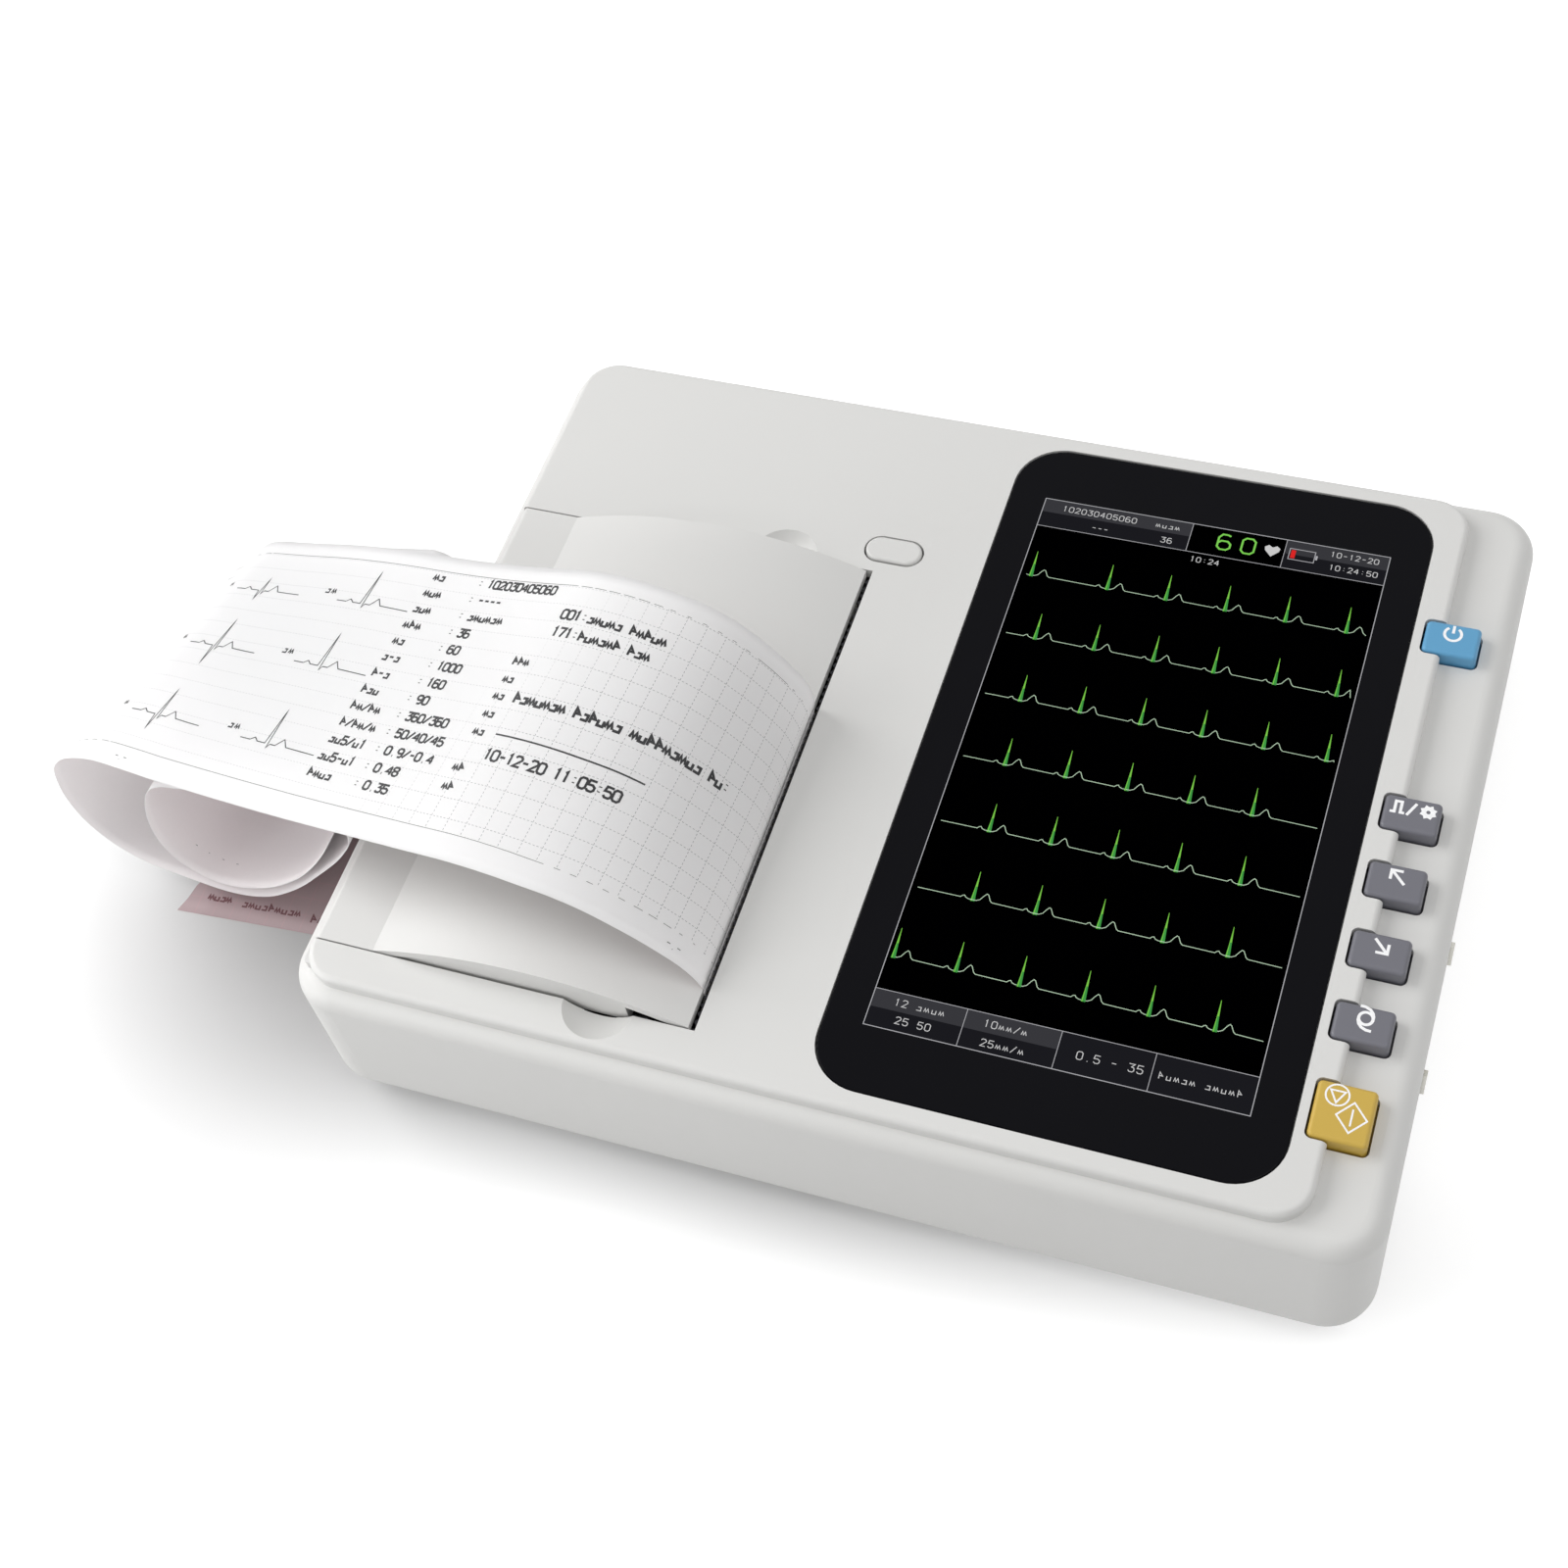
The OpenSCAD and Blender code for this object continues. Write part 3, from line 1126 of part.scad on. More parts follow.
module data_ports() color("silver") {
    // Network socket
    difference() {
        box(port_x - 8, port_x + 8, panel_y1 - 18, panel_y1 + 0.4, bay_cz - 6.7, bay_cz + 6.9);
        box(port_x - 5.9, port_x + 5.9, panel_y1 - 12, panel_y1 + 2, bay_cz - 4.6, bay_cz + 3.2);
        box(port_x - 3, port_x + 3, panel_y1 - 12, panel_y1 + 2, bay_cz - 6, bay_cz + 3);
    }
    // Pair of serial bus sockets
    difference() {
        box(port_x - 24.7, port_x - 10.7, panel_y1 - 16, panel_y1 + 0.4, bay_cz - 6.7, bay_cz + 8.4);
        for (z = [-5.6, 2]) difference() {
            box(port_x - 24, port_x - 11.4, panel_y1 - 12, panel_y1 + 2, bay_cz + z, bay_cz + z + 5.2);
            box(port_x - 23, port_x - 12.4, panel_y1 - 13, panel_y1 - 1, bay_cz + z + 2.6, bay_cz + z + 4.6);
        }
    }
}

top_case();
bottom_case();
rear_panel();
screen_glass();
lcd_panel();
lcd_bracket();
main_board();
board_parts();
shield_can();
clock_cell();
keypad_board();
keypad_domes();
power_board();
power_parts();
battery_pack();
battery_cover();
paper_tub();
printer_chassis();
head_pivot();
head_springs();
tear_bar();
motor();
idler_pin();
hinge_pin();
latch_pin();
release_spring();
lead_socket();
socket_pins();
jack_screws();
mains_inlet();
inlet_blades();
earth_stud();
port_board();
data_ports();
speaker();
rubber_feet();
case_screws();
chart_web();
chart_paper();
door_skin();
door_frame();
platen_bushes();
platen_roller();
platen_shaft();
platen_gear();
paper_roll();
roll_core();
roll_spindle();
idler_gear();
motor_pinion();
print_head();
head_sink();
latch_lever();
release_button();
key_power();
key_mode();
key_up();
key_down();
key_rotate();
key_print();
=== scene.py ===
"""Finishes, display picture, key marks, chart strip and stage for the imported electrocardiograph."""

import json
import math

import bmesh
import bpy
from mathutils import Matrix, Vector


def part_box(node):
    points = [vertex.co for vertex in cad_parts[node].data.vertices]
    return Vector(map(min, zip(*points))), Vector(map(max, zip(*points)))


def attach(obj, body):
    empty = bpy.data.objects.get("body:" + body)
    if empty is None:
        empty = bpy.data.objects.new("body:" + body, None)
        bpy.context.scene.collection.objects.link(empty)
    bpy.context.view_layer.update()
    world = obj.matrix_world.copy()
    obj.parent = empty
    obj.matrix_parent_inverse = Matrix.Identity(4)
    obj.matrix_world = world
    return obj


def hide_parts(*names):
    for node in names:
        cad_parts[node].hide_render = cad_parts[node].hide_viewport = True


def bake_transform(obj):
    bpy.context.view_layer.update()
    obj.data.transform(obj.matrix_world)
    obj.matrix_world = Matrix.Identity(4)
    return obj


bl_info = {
    "name": "Portable electrocardiograph",
    "version": (1, 0, 0),
    "blender": (4, 5, 0),
    "location": "View3D > Sidebar > Recorder",
    "description": "Dresses the packed recorder: plastics, display, key marks, chart strip and stage",
    "category": "Object",
}

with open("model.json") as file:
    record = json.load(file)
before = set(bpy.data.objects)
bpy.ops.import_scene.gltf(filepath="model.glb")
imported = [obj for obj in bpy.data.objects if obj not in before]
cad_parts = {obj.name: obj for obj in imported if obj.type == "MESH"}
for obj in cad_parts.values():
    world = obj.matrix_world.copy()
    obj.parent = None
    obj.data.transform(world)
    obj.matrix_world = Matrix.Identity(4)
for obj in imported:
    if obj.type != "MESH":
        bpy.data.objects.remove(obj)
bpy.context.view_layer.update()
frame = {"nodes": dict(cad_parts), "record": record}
NODES = frame["nodes"]
MM = 0.001


def node_middle(node):
    """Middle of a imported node's box, in metres."""
    low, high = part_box(node)
    return (low + high) / 2


def node_shape(node):
    """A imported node's solids in the model's frame, to be measured or cut."""
    shape = bmesh.new()
    shape.from_mesh(NODES[node].data)
    shape.transform(NODES[node].matrix_world)
    return shape


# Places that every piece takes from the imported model
CASE_X = node_middle("top_case").x
GLASS = node_middle("screen_glass")
GLASS_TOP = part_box("screen_glass")[1].z

KEYS = ("power", "mode", "up", "down", "rotate", "print")
PIXEL_PITCH = 0.15 * MM
TURNS_PER_METRE = 9000


def from_case(x, y, z):
    """A point of the model, given in metres from the case's middle in X."""
    return Vector((x + CASE_X, y, z))


# ---- Shader building ----


def math_node(operation, *terms):
    """One Math node over wires and numbers, as a wire."""
    tree = next(term.tree for term in terms if isinstance(term, Wire))
    node = tree.nodes.new("ShaderNodeMath")
    node.operation = operation
    for socket, term in zip(node.inputs, terms):
        if isinstance(term, Wire):
            tree.links.new(term.socket, socket)
        else:
            socket.default_value = term
    return Wire(tree, node.outputs[0])


def arithmetic(operation, swapped=False):
    """An arithmetic method of Wire that adds one Math node."""
    def method(self, other):
        return math_node(operation, other, self) if swapped else math_node(operation, self, other)

    return method


class Wire:
    """An output socket that takes part in Python arithmetic."""

    def __init__(self, tree, socket):
        self.tree = tree
        self.socket = socket

    def __abs__(self):
        return math_node("ABSOLUTE", self)

    __add__ = __radd__ = arithmetic("ADD")
    __sub__ = arithmetic("SUBTRACT")
    __rsub__ = arithmetic("SUBTRACT", swapped=True)
    __mul__ = __rmul__ = arithmetic("MULTIPLY")
    __truediv__ = arithmetic("DIVIDE")
    __rtruediv__ = arithmetic("DIVIDE", swapped=True)
    __pow__ = arithmetic("POWER")
    __mod__ = arithmetic("FLOORED_MODULO")
    __lt__ = arithmetic("LESS_THAN")
    __gt__ = arithmetic("GREATER_THAN")


class Nodes:
    """A node tree and the one way of adding to it."""

    def __init__(self, tree):
        self.tree = tree

    def node(self, kind, settings=None, inputs=None, output=0):
        """Adds a node with its settings and inputs and gives one output as a wire."""
        node = self.tree.nodes.new(kind)
        for label, value in (settings or {}).items():
            setattr(node, label, value)
        for label, value in (inputs or {}).items():
            if isinstance(value, Wire):
                self.tree.links.new(value.socket, node.inputs[label])
            else:
                node.inputs[label].default_value = value
        return Wire(self.tree, node.outputs[output])

    def axes(self, point):
        """X, Y and Z of a wire that carries a point."""
        parts = self.node("ShaderNodeSeparateXYZ", None, {0: point}).socket.node
        return [Wire(self.tree, socket) for socket in parts.outputs]

    def seen(self):
        """1 where the eye sees the surface directly, in a gloss or through glass, otherwise 0."""
        rays = self.node("ShaderNodeLightPath").socket.node
        direct, glossy, through = (Wire(self.tree, rays.outputs[f"Is {ray} Ray"])
                                   for ray in ("Camera", "Glossy", "Transmission"))
        return math_node("MAXIMUM", math_node("MAXIMUM", direct, glossy), through)


class Finish(Nodes):
    """One material with its shader, its settings that are the same all over, and its nodes."""

    def __init__(self, name, **uniform):
        self.material = bpy.data.materials.new(name)
        self.material.use_nodes = True
        super().__init__(self.material.node_tree)
        self.shader = self.tree.nodes["Principled BSDF"]
        for label, value in uniform.items():
            self.shader.inputs[label.replace("_", " ")].default_value = value

    def feed(self, label, wire):
        """Links a wire to a socket of the shader."""
        self.tree.links.new(wire.socket, self.shader.inputs[label])

    def point(self):
        """The point being shaded, in the model's frame."""
        return self.node("ShaderNodeTexCoord", output="Object")

    def place(self, scale=(1, 1, 1), turn=(0, 0, 0)):
        """The point being shaded, scaled by axis and turned."""
        return self.node("ShaderNodeMapping", None,
                         {"Vector": self.point(), "Scale": scale, "Rotation": turn})

    def noise(self, scale, detail, where=None):
        """Cloudy values round 0.5, with scale in features per metre."""
        return self.node("ShaderNodeTexNoise", None, {"Vector": where or self.point(), "Scale": scale,
                                                      "Detail": detail, "Roughness": 0.55}, "Fac")

    def blend(self, factor, first, second):
        """Two colours mixed by a wire."""
        return self.node("ShaderNodeMix", {"data_type": "RGBA"}, {0: factor, 6: first, 7: second}, 2)

    def ramp(self, value, low, high, first=0.0, last=1.0, kind="LINEAR"):
        """A wire carried from between two numbers to between two others and held at both ends."""
        return self.node("ShaderNodeMapRange", {"clamp": True, "interpolation_type": kind},
                         {"Value": value, "From Min": low, "From Max": high, "To Min": first, "To Max": last})

    def vector(self, operation, first, second=(0, 0, 0), output=0):
        """Vector maths on two points."""
        return self.node("ShaderNodeVectorMath", {"operation": operation}, {0: first, 1: second}, output)

    def tint(self, mask, colour, dark, light):
        """Base Color from a darker to a lighter shade of one colour."""
        self.feed("Base Color", self.blend(mask, shade(colour, dark), shade(colour, light)))

    def rough(self, level, *spreads):
        """Roughness round a level, moved by wires round 0.5, each with its spread."""
        for mask, spread in spreads:
            level = level + (mask - 0.5) * spread
        self.feed("Roughness", level)

    def bump(self, height, depth):
        """Height from 0 to 1 pressed into the surface, depth in metres."""
        self.feed("Normal", self.node("ShaderNodeBump", None, {"Height": height, "Distance": depth}))


def shade(colour, factor):
    """A colour made darker or lighter, with its alpha."""
    return (colour[0] * factor, colour[1] * factor, colour[2] * factor, 1.0)


def moulded(name, colour, roughness=0.42, grain=2600, depth=0.000012, mottle=0.03):
    """Moulded plastic: fine spark-eroded grain, faint cloudiness and handling marks."""
    finish = Finish(name, IOR=1.5)
    cloud = finish.noise(28, 4)
    scuff = finish.noise(240, 5, finish.place((1, 0.35, 1), (0, 0, 0.4)))
    fine = finish.noise(grain, 2)
    finish.tint(cloud * 0.6 + fine * 0.4, colour, 1 - mottle, 1 + mottle)
    finish.rough(roughness, (fine, 0.16), (scuff, 0.14))
    finish.bump(fine + scuff * 0.25, depth)
    return finish.material


def brushed(name, colour, roughness, along=(60, 2400, 2400)):
    """Metal with a drawn or rolled grain along one axis."""
    finish = Finish(name, Metallic=1.0)
    grain = finish.noise(1.0, 3, finish.place(along))
    stain = finish.noise(90, 3)
    finish.tint(stain * 0.5 + grain * 0.5, colour, 0.86, 1.08)
    finish.rough(roughness, (grain, 0.22), (stain, 0.1))
    finish.bump(grain, 0.000006)
    return finish.material


def rubbery(name, colour, roughness=0.72, grain=1500):
    """Moulded or ground rubber with a dusty bloom."""
    finish = Finish(name, IOR=1.48)
    pores = finish.noise(grain, 3)
    bloom = finish.noise(70, 4)
    finish.tint(bloom * 0.7 + pores * 0.3, colour, 0.8, 1.35)
    finish.rough(roughness, (bloom, 0.18))
    finish.bump(pores, 0.00003)
    return finish.material


def resist_board(name, colour):
    """Circuit board: solder resist over tracks, with tinned pads."""
    finish = Finish(name, IOR=1.5)
    where = finish.point()
    cells = finish.node("ShaderNodeTexVoronoi", {"feature": "DISTANCE_TO_EDGE"},
                        {"Vector": where, "Scale": 260.0}, "Distance")
    dots = finish.node("ShaderNodeTexVoronoi", {"feature": "F1"},
                       {"Vector": where, "Scale": 330.0, "Randomness": 0.5}, "Distance")
    track = cells < 0.06
    pad = dots < 0.16
    resist = finish.blend(track, shade(colour, 0.85), shade(colour, 1.5))
    finish.feed("Base Color", finish.blend(pad, resist, (0.62, 0.6, 0.52, 1)))
    finish.feed("Metallic", pad * 0.9)
    finish.rough(0.36 - pad * 0.1, (finish.noise(900, 2), 0.12))
    finish.bump(track * 0.6 + pad * 0.4, 0.00003)
    return finish.material


def wound_paper(name, colour):
    """Plain thermal paper, with the edges of its turns round the roll's middle."""
    finish = Finish(name, IOR=1.45)
    roll = node_middle("paper_roll")
    x, _, z = finish.axes(finish.point())
    across, up = x - roll.x, z - roll.z
    radius = (across * across + up * up) ** 0.5
    turns = abs(radius * TURNS_PER_METRE % 1.0 - 0.5)
    fibre = finish.noise(1800, 4)
    finish.tint(turns * 0.7 + fibre * 0.5, colour, 0.86, 1.02)
    finish.rough(0.55, (fibre, 0.15))
    finish.bump(fibre + turns, 0.00001)
    return finish.material


def wrapped(name, colour):
    """Shrink film over battery cells: smooth, with drawn folds."""
    finish = Finish(name, IOR=1.5, Coat_Roughness=0.2)
    folds = finish.noise(60, 4, finish.place((0.3, 1, 2)))
    finish.tint(folds, colour, 0.75, 1.25)
    finish.rough(0.3, (folds, 0.2))
    finish.bump(folds, 0.0004)
    return finish.material


def polished_cover(name, colour):
    """Cover glass with a black border print behind an anti-glare face."""
    finish = Finish(name, IOR=1.45, Specular_IOR_Level=0.05)
    haze = finish.noise(35, 4)
    tooth = finish.noise(4200, 2)
    finish.tint(haze, colour, 0.9, 1.12)
    finish.rough(0.1, (haze, 0.06), (tooth, 0.03))
    finish.bump(tooth, 0.0000012)
    return finish.material


def wound_board(name, colour):
    """Spirally wound cardboard tube."""
    finish = Finish(name, IOR=1.4)
    plies = finish.noise(1.0, 2, finish.place((200, 900, 200), (0.4, 0, 0)))
    fibre = finish.noise(1400, 4, finish.place(turn=(0.5, 0, 0)))
    finish.tint(fibre * 0.6 + plies * 0.4, colour, 0.72, 1.18)
    finish.rough(0.8, (fibre, 0.15))
    finish.bump(fibre, 0.00005)
    return finish.material


def lit(name, colour):
    """Part of the lit picture: pixels with thin dark gaps between their rows and columns."""
    finish = Finish(name, Base_Color=(0, 0, 0, 1), Roughness=0.5, Specular_IOR_Level=0.0,
                    Emission_Strength=1.0)
    x, y, _ = finish.axes(finish.point())
    columns, rows = (abs(axis / PIXEL_PITCH % 1.0 - 0.5) for axis in (x, y))
    gap = (columns > 0.44) * 0.5 + (rows > 0.44) * 0.5
    finish.feed("Emission Color", finish.blend(gap, shade(colour, 1.0), shade(colour, 0.72)))
    return finish.material


def inked(name, colour):
    """Printed marks, slightly uneven in density."""
    finish = Finish(name, IOR=1.45)
    density = finish.noise(2400, 3)
    finish.tint(density, colour, 0.85, 1.15)
    finish.rough(0.5, (density, 0.1))
    return finish.material


# ---- Mesh building ----


def placed(name, data):
    """A new object of the scene that shows a mesh, a lamp or a camera."""
    piece = bpy.data.objects.new(name, data)
    bpy.context.scene.collection.objects.link(piece)
    return piece


def mesh_piece(name, points, faces, materials, body, indices=None, smooth=False):
    """A mesh piece in the model's frame that rides on a body."""
    mesh = bpy.data.meshes.new(name)
    mesh.from_pydata([tuple(p) for p in points], [], faces)
    for material in materials:
        mesh.materials.append(material)
    if indices:
        mesh.polygons.foreach_set("material_index", indices)
    mesh.polygons.foreach_set("use_smooth", [smooth] * len(mesh.polygons))
    mesh.update()
    piece = placed(name, mesh)
    if body:
        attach(piece, body)
    return piece


def paper_piece(name, points, places, columns, materials, body, thickness):
    """Thin paper over rows of points, each row with one point more than its columns."""
    row = columns + 1
    starts = [i * row + j for i in range(len(points) // row - 1) for j in range(columns)]
    faces = [(a, a + 1, a + row + 1, a + row) for a in starts]
    piece = mesh_piece(name, points, faces, materials, body, smooth=True)
    layer = piece.data.uv_layers.new(name="sheet")
    for loop in piece.data.loops:
        layer.data[loop.index].uv = places[loop.vertex_index]
    solid = piece.modifiers.new("thickness", "SOLIDIFY")
    solid.thickness = thickness
    solid.offset = -1
    solid.material_offset = len(materials) - 1
    return piece


class Drawing:
    """Flat strokes and patches in page coordinates, each with an ink, made into one mesh."""

    # A step too long to cut a line, and how strokes are stacked and mitred
    UNCUT = 400.0
    LAYER_STEP = 0.002
    LAYERS = 7
    LEAST_MITRE = 0.45

    def __init__(self, onto, inks):
        self.onto = onto
        self.inks = inks
        self.points = []
        self.faces = []
        self.indices = []
        self.strokes = 0

    def patch(self, corners, ink=0, lift=0.0):
        """A filled convex outline."""
        start = len(self.points)
        self.points += [self.onto(x, y, lift) for x, y in corners]
        self.faces.append(tuple(range(start, start + len(corners))))
        self.indices.append(ink)

    def stroke(self, path, width, ink=0, lift=0.0, closed=False, step=1.6):
        """A line of even width along a path, mitred, and cut fine enough to follow a curved page."""
        near = width * 0.1
        closed = closed or math.dist(path[0], path[-1]) < near
        corners = [p for i, p in enumerate(path) if i == 0 or math.dist(p, path[i - 1]) > near]
        if closed and math.dist(corners[0], corners[-1]) < near:
            corners.pop()
        ends = corners[1:] + corners[:1] if closed else corners[1:]
        fine = []
        for (x0, y0), (x1, y1) in zip(corners, ends):
            cuts = max(1, math.ceil(math.hypot(x1 - x0, y1 - y0) / step))
            fine += [(x0 + (x1 - x0) * i / cuts, y0 + (y1 - y0) * i / cuts) for i in range(cuts)]
        if not closed:
            fine.append(corners[-1])
        # Each stroke lies a little higher than the one before it, so that crossings stay clean
        lift += self.LAYER_STEP * (self.strokes % self.LAYERS)
        self.strokes += 1
        start, count = len(self.points), len(fine)
        for i, (x, y) in enumerate(fine):
            before = fine[i - 1] if i or closed else (x, y)
            after = fine[(i + 1) % count] if i < count - 1 or closed else (x, y)
            arrive = Vector((x - before[0], y - before[1])).normalized()
            leave = Vector((after[0] - x, after[1] - y)).normalized()
            way = (arrive + leave).normalized()
            reach = width / 2 / max(way.dot(leave if leave.length else arrive), self.LEAST_MITRE)
            for side in (-1, 1):
                self.points.append(self.onto(x - way.y * reach * side, y + way.x * reach * side, lift))
        for i in range(count if closed else count - 1):
            a, b = start + 2 * i, start + 2 * ((i + 1) % count)
            self.faces.append((a, b, b + 1, a + 1))
            self.indices.append(ink)

    def figures(self, text, x, y, height, width, spread=1.0, ink=0, lift=0.0):
        """A row of plain figures and unreadable marks from x to the right."""
        unit = height / FIGURE_UNITS
        for letter in text:
            for path in FIGURES.get(letter, ()):
                self.stroke([(x + px * unit, y + py * unit) for px, py in path], width, ink, lift)
            x += unit * FIGURE_UNITS * spread

    def piece(self, name, body):
        """The drawing as one mesh that rides on a body."""
        return mesh_piece(name, self.points, self.faces, self.inks, body, self.indices)


# Strokes of each figure in a cell of so many units a side
FIGURE_UNITS = 6
FIGURES = {
    "0": [[(1, 0), (0, 1), (0, 5), (1, 6), (3, 6), (4, 5), (4, 1), (3, 0), (1, 0)]],
    "1": [[(1, 5), (2, 6), (2, 0)]],
    "2": [[(0, 5), (1, 6), (3, 6), (4, 5), (4, 4), (0, 0), (4, 0)]],
    "3": [[(0, 6), (4, 6), (2, 3.6), (3.4, 3.4), (4, 2.4), (4, 1), (3, 0), (1, 0), (0, 1)]],
    "4": [[(3, 0), (3, 5.4)], [(3, 6), (0, 2), (4, 2)]],
    "5": [[(4, 6), (0.4, 6), (0, 3.4), (2.6, 3.6), (4, 2.6), (4, 1), (3, 0), (1, 0), (0, 1)]],
    "6": [[(3.6, 5.6), (2.6, 6), (1, 6), (0, 4.6), (0, 1), (1, 0), (3, 0), (4, 1), (4, 2.4), (3, 3.4),
           (1, 3.4), (0, 2.4)]],
    "7": [[(0, 6), (4, 6), (1.6, 0)]],
    "8": [[(1, 3.2), (0, 4.2), (0, 5.2), (1, 6), (3, 6), (4, 5.2), (4, 4.2), (3, 3.2), (1, 3.2), (0, 2.2),
           (0, 1), (1, 0), (3, 0), (4, 1), (4, 2.2), (3, 3.2)]],
    "9": [[(4, 3.6), (3, 2.6), (1, 2.6), (0, 3.6), (0, 5), (1, 6), (3, 6), (4, 5), (4, 1.4), (3, 0), (1, 0)]],
    "-": [[(0.5, 3), (3.5, 3)]],
    "/": [[(0, 0), (4, 6)]],
    ":": [[(2, 1.2), (2, 1.8)], [(2, 4), (2, 4.6)]],
    ".": [[(1.6, 0), (2.2, 0)]],
    # Marks that stand for words and are not letters
    "~": [[(0, 0.4), (0.6, 3.6), (1.8, 0.6), (2.8, 3.6), (4, 0.4)]],
    "=": [[(0, 0.3), (4, 0.3)], [(1, 3.4), (3.4, 3.4), (3.4, 0.3)]],
    "^": [[(0.6, 0), (0.6, 5.6), (3.2, 2.6), (0.6, 2.6)]],
    "_": [[(0.4, 3.4), (0.4, 0.2), (3.4, 0.2), (3.4, 3.4)]],
}


def ring(cx, cy, radius, start=0, stop=360, count=28):
    """Points round a circle, in degrees."""
    return [(cx + radius * math.cos(math.radians(start + (stop - start) * i / count)),
             cy + radius * math.sin(math.radians(start + (stop - start) * i / count)))
            for i in range(count + 1)]


# ---- Chart strip ----

# X from the case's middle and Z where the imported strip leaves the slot, and a Y between its edges
SLOT = (-0.02875, 0.0533)
BETWEEN_EDGES = -0.03
WELD = 0.00002


def strip_edges():
    """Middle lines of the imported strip's front and rear edges, section by section from the slot on."""
    shape = node_shape("chart_paper")
    bmesh.ops.remove_doubles(shape, verts=shape.verts, dist=WELD)
    edges = []
    for front in (True, False):
        side = {v for v in shape.verts if (v.co.y < BETWEEN_EDGES) == front}
        section = [v for v in side if math.dist((v.co.x - CASE_X, v.co.z), SLOT) < MM]
        path = []
        while section:
            side -= set(section)
            middle = sum((v.co for v in section), Vector()) / len(section)
            path.append(Vector((middle.x - CASE_X, middle.y, middle.z)) / MM)
            section = list({e.other_vert(v) for v in section for e in v.link_edges} & side)
        edges.append(path)
    shape.free()
    return edges


def halved(path):
    """A path with a point on its smooth curve added halfway between each two."""
    ends = [path[0] * 2 - path[1], *path, path[-1] * 2 - path[-2]]
    finer = [path[0]]
    for before, low, high, after in zip(ends, ends[1:], ends[2:], ends[3:]):
        finer += [((low + high) * 9 - before - after) / 16, high]
    return finer


class Page:
    """The curled strip as a page: length from the slot and height from the front edge, in mm."""

    def __init__(self, width):
        self.width = width
        front, rear = strip_edges()
        self.step = (front[1] - front[0]).length / 2
        self.front, self.rear = halved(front), halved(rear)
        self.length = self.step * (len(self.front) - 1)

    def at(self, length, height, lift=0.0):
        """A point of the strip in metres, lifted off its printed face."""
        place = min(max(length / self.step, 0), len(self.front) - 1.001)
        i = int(place)
        share = place - i
        front = self.front[i].lerp(self.front[i + 1], share)
        rear = self.rear[i].lerp(self.rear[i + 1], share)
        across = height / self.width
        along = (self.front[i + 1] - self.front[i]).lerp(self.rear[i + 1] - self.rear[i], across)
        face = (rear - front).cross(along).normalized()
        point = front.lerp(rear, across) + face * lift
        return from_case(point.x * MM, point.y * MM, point.z * MM)


# ---- Settings ----


class RecorderSizes(bpy.types.PropertyGroup):
    """Sizes of the marks and the strip, in metres."""

    paper_width: bpy.props.FloatProperty(
        name="Paper width", description="Width of the chart strip",
        default=0.08, min=0.07, max=0.09, unit="LENGTH")
    paper_thickness: bpy.props.FloatProperty(
        name="Paper thickness", description="Thickness of the chart strip",
        default=0.00012, min=0.00005, max=0.0003, unit="LENGTH")
    grid_pitch: bpy.props.FloatProperty(
        name="Grid pitch", description="Pitch of the printed grid",
        default=0.005, min=0.001, max=0.01, unit="LENGTH")
    picture_width: bpy.props.FloatProperty(
        name="Picture width", description="Width of the lit picture", default=0.08592, unit="LENGTH")
    picture_height: bpy.props.FloatProperty(
        name="Picture height", description="Height of the lit picture", default=0.15408, unit="LENGTH")
    trace_width: bpy.props.FloatProperty(
        name="Trace width", description="Line width of the lit traces", default=0.00018, unit="LENGTH")
    mark_width: bpy.props.FloatProperty(
        name="Key mark width", description="Line width of the key marks", default=0.0006, unit="LENGTH")


COLOUR = {"subtype": "COLOR", "size": 3, "min": 0, "max": 1}


class RecorderColours(bpy.types.PropertyGroup):
    """Colours of the finishes that a user would change."""

    case: bpy.props.FloatVectorProperty(
        name="Case", description="Casing plastic", default=(0.685, 0.682, 0.668), **COLOUR)
    glass: bpy.props.FloatVectorProperty(
        name="Glass", description="Border print of the cover glass",
        default=(0.0045, 0.0045, 0.006), **COLOUR)
    power_key: bpy.props.FloatVectorProperty(
        name="Power key", description="Power key plastic", default=(0.105, 0.335, 0.56), **COLOUR)
    menu_key: bpy.props.FloatVectorProperty(
        name="Menu keys", description="Middle keys' plastic", default=(0.15, 0.15, 0.175), **COLOUR)
    print_key: bpy.props.FloatVectorProperty(
        name="Print key", description="Print key plastic", default=(0.58, 0.39, 0.065), **COLOUR)
    paper: bpy.props.FloatVectorProperty(
        name="Paper", description="Chart paper", default=(0.93, 0.915, 0.92), **COLOUR)
    trace: bpy.props.FloatVectorProperty(
        name="Trace", description="Lit trace", default=(0.5, 0.66, 0.48), **COLOUR)
    spike: bpy.props.FloatVectorProperty(
        name="Spike", description="Lit beat spikes", default=(0.05, 0.32, 0.06), **COLOUR)
    floor: bpy.props.FloatVectorProperty(
        name="Floor", description="Floor under the recorder", default=(0.8, 0.8, 0.8), **COLOUR)


# ---- Operators ----


